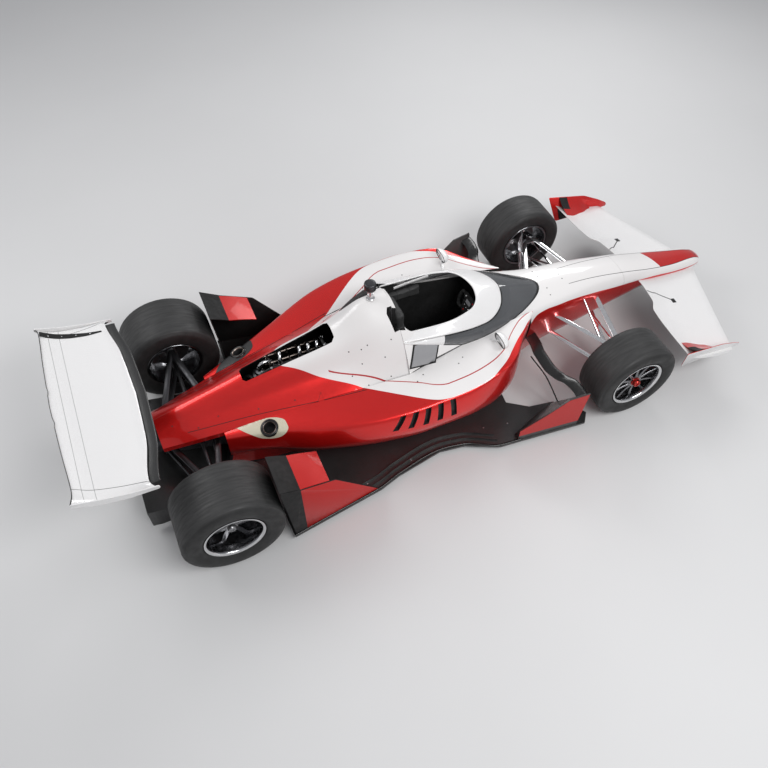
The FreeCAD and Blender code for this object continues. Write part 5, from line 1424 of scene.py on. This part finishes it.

# Small body parts: fasteners, painted shade lines, display panels, mirrors and the hoop camera
body_skin = surface(tub_skin, cover_skin, *pod_skins)
fastener_places = [
    (-0.639, 0.378), (-0.373, 0.254), (-0.574, 0.203), (-0.656, 0.175), (-0.530, 0.207), (-0.592, 0.257),
    (-0.438, 0.300), (-0.678, 0.282), (-0.427, 0.378), (-0.218, 0.456), (-0.278, 0.493), (0.045, 0.480),
    (0.094, 0.443), (-0.592, 0.367), (-1.93, 0.094), (-1.769, 0.160), (1.016, 0.068), (1.176, 0.026),
    (1.007, 0.136), (-1.62, 0.150), (-1.10, 0.262), (-1.35, 0.215),
]


def fasteners():
    spots = [Vector((x, side * y, 1.0)) for side in (-1, 1) for x, y in fastener_places]
    lofts = [small_disc(*landing(body_skin, spot, DOWN), 0.0048) for spot in spots]
    merged("panel_fasteners", lofts, black, sharp=40)


def led_panel(side, hand):
    """Blank display panel on the body's flank, grey in a dark frame."""
    corners = [(-0.235, 0.316, 0.82), (-0.017, 0.293, 0.772), (-0.093, 0.403, 0.652), (-0.299, 0.400, 0.678)]
    corners = sided(corners, side)
    heart = sum(corners, Vector()) / 4
    for part, scale, lift, material in (("frame", 1.0, 0.0030, matt_black), ("face", 0.88, 0.0048, panel_grey)):
        outline = closed_run([heart + (c - heart) * scale for c in corners], 12)
        draped(f"display_{part}_{hand}", outline, body_skin, material, inward(side), lift=lift)


def mirror_parts(side, hand):
    """Mirror housing with a dark bezel, its glass and its stalk."""
    centre = Vector((station(0.306), side * wide(0.618), high(0.701)))
    foot = Vector((station(0.3136), side * wide(0.438), high(0.604)))

    def section(x, size):
        return [centre + Vector((x, 0.0745 * size * c, 0.0335 * size * s)) for c, s in circle(40, 0.7, 0.8)]

    shell = [
        (0.006, 0.80), (0.0045, 0.86), (0.0004, 0.90), (0.0004, 0.965), (0.004, 0.985), (0.016, 0.985),
        (0.030, 0.92), (0.042, 0.78), (0.052, 0.58), (0.058, 0.36), (0.0596, 0.20),
    ]
    housing = loft(f"mirror_housing_{hand}", [section(*row) for row in shell], white)
    paint_faces(housing, gloss_black, lambda spot, normal: spot.x < centre.x + 0.0055)
    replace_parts(housing, "mirrors")
    loft(f"mirror_glass_{hand}", [section(0.0030, 0.86), section(0.0022, 0.845)], polished)
    bend, end = foot.lerp(centre, 0.45) + Vector((0.006, 0, -0.004)), centre + Vector((0.012, 0, -0.004))
    rings = []
    for p, share in zip(fair([foot - UP * 0.004, bend, end], 12), spread(0, 1, 12)):
        size = 1 - 0.35 * share
        rings.append([p + size * Vector((0.015 * c, 0.0052 * s, 0.0052 * s)) for c, s in circle(20)])
    loft(f"mirror_stalk_{hand}", rings, white)


def hoop_camera():
    """Round camera on its stem, with a dark patch draped on the cover's left flank beside it."""
    foot = Vector((station(0.558), 0, hoop_height - 0.010))
    stem = [
        (0.030, 0.006), (0.030, 0.012), (0.022, 0.020), (0.0175, 0.030), (0.0175, 0.040), (0.0195, 0.041),
        (0.0195, 0.050), (0.0175, 0.051), (0.0175, 0.090),
    ]
    loft("camera_stem", spun(foot, UP, stem, 40), polished, sharp=40)
    head = [
        (0.016, 0.088), (0.036, 0.090), (0.0405, 0.094), (0.0415, 0.100), (0.0415, 0.112), (0.0395, 0.1125),
        (0.0395, 0.1155), (0.0415, 0.116), (0.0415, 0.140), (0.0395, 0.146), (0.034, 0.1495), (0.020, 0.1500),
        (0.0006, 0.1500),
    ]
    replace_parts(loft("camera_knob", spun(foot, UP, head, 56), dark_metal, sharp=40, slot="trim_black"), "camera_pod")
    patch = [
        (-0.610, 0.105), (-0.520, 0.165), (-0.450, 0.200), (-0.385, 0.212), (-0.345, 0.130), (-0.400, 0.050),
        (-0.470, 0.052), (-0.550, 0.072),
    ]
    outline = closed_run([(x, y, 0.95) for x, y in patch], 6)
    draped("camera_side_dark_patch", outline, surface(cover_skin), matt_black)


def crease_shade_and_adjusters():
    """Painted shade in the creases at the joints between the spine and the side pods, and the wing adjusters."""
    # Thin dark ribbons that paint the shade along each crease between the spine and a pod.
    line = [(-1.845, 0.158, 0.6), (-1.456, 0.226, 0.6), (-0.947, 0.330, 0.7), (-0.62, 0.394, 0.7)]
    lofts = [ribbon_rings(fair(sided(line, side), 60), body_skin, 0.0022, 0.0012) for side in (-1, 1)]
    merged("spine_crease_painted_shade", lofts, matt_black)
    line = [(1.860, 0.262, 0.6), (1.905, 0.290, 0.6), (1.925, 0.290, 0.6), (1.955, 0.315, 0.6), (2.030, 0.375, 0.6)]
    square = [(2.028, 0.372, 0.6), (2.062, 0.372, 0.6), (2.062, 0.412, 0.6), (2.028, 0.412, 0.6)]
    for wing, side, hand in zip(front_wings, (1, -1), ("left", "right")):
        tree = surface(wing)
        rings = ribbon_rings(resampled(sided(line, side), 30), tree, 0.004, 0.0016)
        loft(f"wing_adjuster_line_{hand}", rings, black)
        draped(f"wing_adjuster_pad_{hand}", closed_run(sided(square, side), 5), tree, black)


fasteners()
both_sides(led_panel)
both_sides(mirror_parts)
hoop_camera()
crease_shade_and_adjusters()


# Engine parts seen through the slot in the cover
def band_rings(spot, axis, inner, outer, half, parts):
    """Rings of a flat band around a hose or a tube."""
    return spun(spot, axis, [(inner, -half), (outer, -half), (outer, half), (inner, half)], parts)


def engine_detail():
    rib = [(0.058, -0.007), (0.0645, -0.006), (0.0665, 0), (0.0645, 0.006), (0.058, 0.007)]
    places = (-0.160, -0.100, -0.035, 0.030, 0.095, 0.158)
    ribs = [spun((x - 0.983, 0, 0.610), (1, 0, 0), rib, 48) for x in places]
    merged("plenum_ribs", ribs, alloy, slot="engine_alloy")
    tubes, clamps = [], []
    for x in (-0.955, -0.890, -0.825, -1.100):
        arc = [
            (x - 0.012, -0.004, 0.650), (x, 0.010, 0.715), (x + 0.010, 0.044, 0.746), (x + 0.018, 0.080, 0.728),
            (x + 0.022, 0.100, 0.670), (x + 0.024, 0.106, 0.560),
        ]
        tubes.append(bar_rings(fair(arc, 28), 0.0125, 20))
        clamps.append(band_rings((x + 0.001, 0.012, 0.718), (0.15, 0.6, 0.8), 0.0125, 0.0148, 0.006, 24))
    merged("intake_tubes", tubes, polished)
    merged("tube_clamps", clamps, dark_metal, sharp=40)
    rails = []
    injector = [(0.010, -0.02), (0.010, 0.018), (0.007, 0.024), (0.007, 0.030)]
    for y in (-0.045, 0.055, 0.125):
        rails.append(bar_rings([(x, y, 0.668) for x in (-1.20, -0.78)], 0.0075))
        rails += [spun((0.072 * k - 1.165, y, 0.652), UP, injector, 16) for k in range(6)]
    merged("fuel_rails", rails, heat_metal, sharp=40)
    housing = [
        (0.020, -0.060), (0.047, -0.050), (0.055, -0.030), (0.055, 0.000), (0.047, 0.018), (0.030, 0.024),
        (0.026, 0.046), (0.030, 0.048), (0.030, 0.056), (0.022, 0.058), (0.0006, 0.058),
    ]
    rings = spun((-1.255, 0.062, 0.575), (0.15, -0.25, 1), housing, 44)
    loft("turbo_housing", rings, alloy, sharp=40, slot="engine_alloy")
    pipe = [
        (-1.250, 0.058, 0.620), (-1.245, 0.060, 0.660), (-1.205, 0.064, 0.686), (-1.160, 0.072, 0.665),
        (-1.135, 0.090, 0.600),
    ]
    bar("charge_pipe", fair(pipe, 30), 0.020, polished, 28)
    hoses = [bar_rings(fair(path, 30), 0.011, 18) for path in (
        [(-1.345, 0.015, 0.50), (-1.31, 0.015, 0.59), (-1.25, 0, 0.64), (-1.17, 0, 0.672), (-1.08, -0.02, 0.68)],
        [(-1.37, 0.098, 0.46), (-1.35, 0.09, 0.555), (-1.32, 0.048, 0.6), (-1.3, 0.01, 0.56)],
        [
            (-0.745, -0.04, 0.6), (-0.755, -0.02, 0.69), (-0.775, 0.035, 0.742), (-0.765, 0.1, 0.71),
            (-0.745, 0.125, 0.6),
        ],
    )]
    merged("coolant_hoses", hoses, black)
    clamps = [band_rings(spot, axis, 0.011, 0.0138, 0.007, 20) for spot, axis in (
        ((-1.31, 0.015, 0.590), (0.5, 0, 0.8)), ((-1.17, 0.000, 0.672), (1, 0, 0.1)),
        ((-0.768, 0.010, 0.728), (-0.2, 1, 0.5)), ((-0.768, 0.085, 0.725), (0.1, 1, -0.5)),
    )]
    merged("hose_clamps", clamps, polished, sharp=40)


engine_detail()

# Cockpit: cushions, seat, belts and hand wheel
cockpit_rear_x = station(0.512)


def pad(name, low, top, round_off, channels=()):
    """Cushion that starts as a slightly smaller rounded block and swells as pressed cloth."""
    swell, cap = 0.006, 0.007
    low, top = Vector(low), Vector(top)
    size = top - low - Vector((1, 1, 1)) * swell * 1.6
    centre = (low + top) / 2
    work = bmesh.new()
    bmesh.ops.create_cube(work, size=1)
    for v in work.verts:
        v.co = centre + v.co * size
    bmesh.ops.bevel(work, geom=work.edges[:], offset=round_off, segments=4, profile=0.5, affect="EDGES")
    mesh = bpy.data.meshes.new(name)
    work.to_mesh(mesh)
    work.free()
    thing = dress(name, mesh, foam, sharp=80)
    remesh = thing.modifiers.new("remesh", "REMESH")
    remesh.mode = "VOXEL"
    remesh.voxel_size = 0.0055
    settle(thing)
    rest = [v.co.copy() for v in thing.data.vertices]
    cloth = thing.modifiers.new("cloth", "CLOTH")
    cloth.settings.quality = 5
    cloth.settings.use_pressure = True
    cloth.settings.uniform_pressure_force = 4
    cloth.settings.effector_weights.gravity = 0
    cloth.collision_settings.use_collision = False
    for frame_number in range(1, 21):
        bpy.context.scene.frame_set(frame_number)
    settle(thing)
    for v, home in zip(thing.data.vertices, rest):
        move = v.co - home
        if move.length > cap:
            v.co = home + move.normalized() * cap
    bpy.context.scene.frame_set(1)
    thing.modifiers.new("divide", "SUBSURF").levels = 1
    settle(thing)
    for axis, place in channels:
        for v in thing.data.vertices:
            depth = 0.0045 * exp(-((v.co[axis] - place) / 0.0035) ** 2)
            pull = centre - v.co
            pull[axis] = 0
            v.co += pull.normalized() * depth
    for v in thing.data.vertices:
        v.co = [min(max(v.co[i], low[i]), top[i]) for i in range(3)]
    thing.data.shade_smooth()
    return thing


def cockpit_pads():
    low_z, top_z = high(0.651) + 0.001, high(0.745)
    rear_x = cockpit_rear_x + 0.001
    head = pad(
        "headrest_pad", (rear_x, -0.114, low_z), (cockpit_rear_x + 0.075, 0.114, high(0.854)), 0.022,
        ((1, -0.060), (1, 0.060), (2, 0.775)),
    )
    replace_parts(head, "cockpit_surround")
    for side, hand in ((1, "left"), (-1, "right")):
        near, far = sorted((side * 0.206, side * 0.2490))
        pad(f"side_pad_{hand}", (-0.215, near, low_z), (station(0.40), far, top_z), 0.012, ((0, -0.12), (0, -0.02)))
        near, far = sorted((side * 0.118, side * 0.2490))
        pad(f"shoulder_pad_{hand}", (rear_x, near, low_z), (cockpit_rear_x + 0.046, far, top_z), 0.012)
        # White strip on the inner wall under the rim: the tub's white edge with a painted highlight on it.
        strip = sided([(-0.13, 0.2475, 0.800), (0.02, 0.2475, 0.812), (0.15, 0.2475, 0.816)], side)
        section = ((0.002, -0.013), (-0.002, -0.011), (-0.003, 0.0), (-0.002, 0.011), (0.002, 0.013))
        rings = [[spot + Vector((0, side * dy, dz)) for dy, dz in section] for spot in fair(strip, 20)]
        loft(f"cockpit_rim_highlight_{hand}", rings, white, sharp=60)


seat_path = [
    (-0.2370, 0.686), (-0.2080, 0.560), (-0.1760, 0.430), (-0.1440, 0.310), (-0.1150, 0.230), (-0.0700, 0.203),
    (0.020, 0.206), (0.120, 0.214), (0.250, 0.2285),
]
seat_half = 0.185


def fade(share):
    """Smooth step from 0 to 1."""
    share = min(max(share, 0), 1)
    return share * share * (3 - 2 * share)


def seat_rows(lift):
    """Rows of the seat's surface from the top of its back to its front lip, with raised sides."""
    rows = []
    for i, (p, ahead) in enumerate(neighbours(fair([(x, 0, z) for x, z in seat_path], 46))):
        normal = Vector((-ahead.z, 0, ahead.x)).normalized()
        part = i / 45
        wall = 0.080 * sin(pi * min(1, part * 1.15) ** 0.85) ** 0.8 if part < 0.87 else 0.0
        widths = spread(-seat_half, seat_half, 33)
        rows.append([p + Vector((0, y, 0)) + normal * (wall * fade((abs(y) - 0.105) / 0.075) + lift) for y in widths])
    return rows


def seat_and_belts():
    shell = sheet_solid("seat_shell_moulded", seat_rows(0), seat_rows(-0.006), carbon_dark, foam, slot="seat_shell")
    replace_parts(shell, "seat")
    tree = surface(shell)
    toward = Vector((-0.55, 0, -0.83)).normalized()

    def belt(name, path, half_width, count=40):
        section = ((-1, 0), (-0.94, 0.0013), (0.94, 0.0013), (1, 0), (0.94, -0.0013), (-0.94, -0.0013))
        rings = []
        for p, ahead in neighbours(fair(path, count)):
            hit, normal = landing(tree, p, toward)
            across = ahead.cross(normal).normalized() * half_width
            rings.append([hit + across * a + normal * (0.004 + rise) for a, rise in section])
        loft(name, rings, webbing)

    for side, hand in ((1, "left"), (-1, "right")):
        shoulder = [
            (-0.226, 0.075, 0.675), (-0.205, 0.070, 0.55), (-0.17, 0.058, 0.41), (-0.13, 0.042, 0.29),
            (-0.085, 0.022, 0.225),
        ]
        lap = [(-0.125, 0.165, 0.33), (-0.110, 0.120, 0.27), (-0.085, 0.070, 0.235), (-0.070, 0.022, 0.222)]
        belt(f"shoulder_belt_{hand}", sided(shoulder, side), 0.024)
        belt(f"lap_belt_{hand}", sided(lap, side), 0.023, 24)
        spot, normal = landing(tree, Vector((-0.205, side * 0.070, 0.55)), toward)
        adjuster = []
        for size, rise in ((0.9, 0.004), (1.0, 0.0065), (1.0, 0.0095), (0.85, 0.0115)):
            down, across = Vector((0.25, 0, -0.97)) * 0.016 * size, Vector((0, 0.028 * size, 0))
            corners = ((-1, -1), (1, -1), (1, 1), (-1, 1))
            adjuster.append([spot + normal * rise + down * a + across * b for a, b in corners])
        loft(f"belt_adjuster_{hand}", adjuster, polished, sharp=30)
    belt("crotch_belt", [(-0.062, 0, 0.215), (-0.01, 0, 0.215), (0.06, 0, 0.22)], 0.020, 20)
    spot, normal = landing(tree, Vector((-0.068, 0, 0.215)), toward)
    buckle = [
        (0.020, 0.003), (0.031, 0.004), (0.033, 0.008), (0.032, 0.015), (0.027, 0.019), (0.024, 0.018),
        (0.022, 0.015), (0.010, 0.015), (0.008, 0.019), (0.0006, 0.019),
    ]
    loft("belt_buckle", spun(spot, normal, buckle, 40), alloy, sharp=40, slot="bright_steel")


def hand_wheel():
    """Butterfly wheel with a carbon plate, rubber grips, paddles, a blank display and buttons."""
    centre = Vector((station(0.305), 0, high(0.604)))
    up, out = Vector((0.309, 0, 0.951)), Vector((-0.951, 0, 0.309))
    body = "hand_wheel"

    def at(u, v, w):
        return centre + Vector((0, u, 0)) + up * v + out * w

    def slab(name, outline, low, top, material, bevel=0.0015):
        rings = plate(outline, lambda u, v, depth: at(u, v, low + depth), top - low, bevel)
        return loft(name, rings, material, body=body, sharp=40)

    def panel(half, low, top):
        return [(-half, low), (half, low), (half, top), (-half, top)]

    half = [(0.040, -0.078), (0.060, -0.050), (0.064, 0.030), (0.098, 0.060), (0.070, 0.079)]
    plan = soft_outline(half + [(-u, v) for u, v in reversed(half)], 0.010, 5)
    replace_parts(slab("wheel_plate", plan, -0.009, 0.007, carbon), "steering_wheel")
    screen_plan, glass_plan = panel(0.036, 0.012, 0.052), panel(0.031, 0.016, 0.048)
    slab("wheel_display", soft_outline(screen_plan, 0.004, 3), 0.0065, 0.0095, gloss_black, 0.001)
    slab("wheel_display_glass", soft_outline(glass_plan, 0.002, 3), 0.0090, 0.0100, panel_grey, 0.0004)
    path = [
        (0.085, 0.062), (0.108, 0.058), (0.1185, 0.030), (0.1195, -0.010), (0.112, -0.045), (0.094, -0.064),
        (0.060, -0.060),
    ]
    radii = [0.0155 * (0.62 + 0.38 * sin(pi * i / 39) ** 0.6) + 0.0009 * cos(i * 1.05) for i in range(40)]
    paddle = [(0.050, -0.015), (0.104, -0.025), (0.110, 0.030), (0.055, 0.030)]
    for side, hand in ((1, "left"), (-1, "right")):
        bar(f"wheel_grip_{hand}", fair([at(side * u, v, 0) for u, v in path], 40), radii, rubber, 24, body=body)
        plan = soft_outline([(side * u, v) for u, v in paddle], 0.008)
        slab(f"shift_paddle_{hand}", plan, -0.0155, -0.0125, dark_metal, 0.0008)
    button = [(0.0066, 0.0), (0.0066, 0.0032), (0.0050, 0.0046), (0.0006, 0.0048)]
    for tone, material, spots in (
        ("red", red, [(-0.050, 0.058), (0.022, -0.050)]),
        ("white", white, [(0.050, 0.058), (-0.022, -0.050)]),
        ("dark", gloss_black, [(-0.052, 0.030), (0.052, 0.030), (-0.046, 0.004), (0.046, 0.004)]),
        ("metal", polished, [(-0.030, -0.012), (0.0, -0.018), (0.030, -0.012)]),
    ):
        lofts = [spun(at(u, v, 0.0065), out, button, 20) for u, v in spots]
        merged(f"wheel_buttons_{tone}", lofts, material, body=body, sharp=40, slot="trim_black")
    length = (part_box("steering_wheel")[1].x - centre.x) / 0.951 - 0.004
    path = [at(0, 0, -depth) for depth in (0.008, 0.040, 0.042, length)]
    bar("wheel_column", path, [0.0190, 0.0190, 0.0118, 0.0118], dark_metal, 28, body=body)


cockpit_pads()
seat_and_belts()
hand_wheel()

# Trim along the floor's side
floor_rows = [
    (0.190, 0.000), (0.190, 0.260), (0.262, 0.400), (0.272, 0.720), (0.225, 0.860), (0.165, 0.900),
    (0.122, 1.045), (0.105, 1.150), (0.125, 1.250), (0.294, 1.180), (0.347, 1.160), (0.424, 1.010),
    (0.487, 0.974), (0.604, 1.060), (0.655, 1.125), (0.764, 1.190), (0.878, 1.258), (0.882, 0.760),
    (0.900, 0.600), (0.900, 0.000),
]


def floor_trim(side, hand):
    """Rolled edge, strakes and bolts."""
    path = fair([(station(s), side * (wide(w) - 0.010), foot_z + 0.004) for s, w in floor_rows[9:17]], 70)
    rings = []
    for (p, ahead), share in zip(neighbours(path), spread(0, 1, 70)):
        across = Vector((-ahead.y, ahead.x, 0)).normalized()
        across = -across if across.y * side < 0 else across
        swell = 0.6 + 0.4 * sin(pi * share)
        rings.append([p + across * (0.0095 * c) + UP * (0.010 * swell * (1 + s) - 0.006) for c, s in circle(14)])
    loft(f"floor_edge_roll_{hand}", rings, gloss_black, sharp=60, slot="carbon")
    strakes = []
    for inset in (0.055, 0.105):
        strakes.append([])
        line = fair([(station(s), side * (wide(w) - inset), foot_z - 0.001) for s, w in floor_rows[10:16]], 50)
        for p, share in zip(line, spread(0, 1, 50)):
            rise = 0.016 + 0.010 * sin(pi * share)
            section = ((-0.0016, 0), (-0.0012, rise), (0.0012, rise), (0.0016, 0))
            strakes[-1].append([p + Vector((0, dy, dz)) for dy, dz in section])
    merged(f"floor_strakes_{hand}", strakes, carbon, sharp=40)
    places = ((0.30, 0.95), (0.36, 0.90), (0.45, 0.90), (0.56, 0.95), (0.68, 1.02), (0.78, 1.05), (0.84, 0.95))
    bolts = [small_disc(Vector((station(s), side * wide(w), foot_z)), UP, 0.006) for s, w in places]
    merged(f"floor_bolts_{hand}", bolts, alloy, sharp=40, slot="bright_steel")


both_sides(floor_trim)


# Inner faces of the front wing's ends, and the dark strip at the rear wing's left end
def endplate_fillet(side, hand):
    """Red inner face that runs from the wing's end up to the endplate's top edge."""
    tree = surface(*front_wings)
    outer = []
    for share in spread(0, 1, 25):
        x = 1.795 + 0.315 * share
        foot_y = 0.800 + 0.045 * fade((x - 1.84) / 0.16) + 0.052 * fade((x - 1.98) / 0.13)
        foot = landing(tree, Vector((x, side * foot_y, 0.6)), DOWN)[0]
        top_z = high(0.472) - 0.121 * max(0, (x - 1.73) / 0.38) ** 1.5 - 0.012
        rim = Vector((x, side * (front_plate_y(x, top_z) - 0.002), max(top_z, foot.z + 0.012)))
        line = [foot - UP * 0.002]
        for part in spread(0, 1, 9)[1:]:
            sag = 0.022 * sin(pi * part)
            line.append(foot.lerp(rim, part) + Vector((0, side * sag * 0.6, -sag * 0.5)))
        outer.append(line)
    inner = [[q + Vector((0, side * 0.003, -0.002)) for q in line] for line in outer]
    made = sheet_solid(f"endplate_inner_{hand}", outer, inner, red)
    paint_faces(made, matt_black, lambda spot, normal: spot.x < 1.875 and abs(spot.y) > 0.875)


def far_strip():
    """Dark inner face at the rear wing's left end, with its bolts."""
    tree = surface(rear_wing_skin)
    inboard = [(-2.545, 0.640), (-2.46, 0.627), (-2.369, 0.612), (-2.27, 0.602), (-2.165, 0.600)]
    outboard = [(-2.165, 0.612), (-2.27, 0.632), (-2.369, 0.655), (-2.46, 0.676), (-2.545, 0.694)]
    outline = closed_run([(x, y, 1.1) for x, y in inboard + outboard], 6)
    draped("rear_wing_end_strip", outline, tree, matt_black, lift=0.0018)
    bolts = []
    for x, y in ((-2.50, 0.655), (-2.42, 0.642), (-2.33, 0.630), (-2.24, 0.615)):
        spot, normal = landing(tree, Vector((x, y, 1.1)), DOWN)
        bolts.append(small_disc(spot + normal * 0.0022, normal, 0.0045))
    merged("rear_wing_end_bolts", bolts, polished, sharp=40)


both_sides(endplate_fillet)
far_strip()

# Camera, floor and light
camera_place = Vector((-1.7395, -3.3118, 4.7587))
camera_yaw, camera_pitch, camera_roll = radians(66.80), radians(-52.62), radians(-0.56)
lens_mm, film_mm, view_limit = 35.22, 36, 100
floor_half = 60


def aim_camera():
    data = bpy.data.cameras.new("camera")
    data.lens, data.sensor_width, data.clip_end = lens_mm, film_mm, view_limit
    camera = in_scene("camera", data)
    level = cos(camera_pitch)
    ahead = Vector((level * cos(camera_yaw), level * sin(camera_yaw), sin(camera_pitch)))
    right = ahead.cross(UP).normalized()
    up = right.cross(ahead)
    rolled_right = right * cos(camera_roll) + up * sin(camera_roll)
    rolled_up = up * cos(camera_roll) - right * sin(camera_roll)
    axes = Matrix((rolled_right, rolled_up, -ahead)).transposed()
    camera.matrix_world = Matrix.Translation(camera_place) @ axes.to_4x4()
    bpy.context.scene.camera = camera


def floor_and_light():
    mesh = bpy.data.meshes.new("studio_floor")
    corners = [(-1, -1), (1, -1), (1, 1), (-1, 1)]
    mesh.from_pydata([(floor_half * x, floor_half * y, 0) for x, y in corners], [], [(0, 1, 2, 3)])
    floor = in_scene("studio_floor", mesh)
    look = Look("pale_floor")
    look.set(Base_Color=look.grain(0.4, 0.66, 0.69), Roughness=0.55)
    mesh.materials.append(look.material)
    world = bpy.data.worlds.new("studio")
    bpy.context.scene.world = world
    world.use_nodes = True
    backdrop = world.node_tree.nodes["Background"].inputs
    feed((0.95, 0.96, 1.0), backdrop["Color"])
    feed(0.42, backdrop["Strength"])
    for name, place, width, depth, power in (
        ("key_light", (1.5, -4.5, 6.0), 5.0, 2.0, 290),
        ("fill_light", (-4.5, 3.0, 5.0), 4.0, 3.0, 130),
        ("rim_light", (4.0, 4.5, 4.0), 4.0, 1.2, 115),
    ):
        data = bpy.data.lights.new(name, "AREA")
        data.shape = "RECTANGLE"
        data.size, data.size_y, data.energy = width, depth, power
        lamp = in_scene(name, data)
        lamp.location = place
        lamp.rotation_euler = (-Vector(place)).to_track_quat("-Z", "Y").to_euler()


aim_camera()
floor_and_light()
bpy.context.scene.view_settings.view_transform = "Standard"
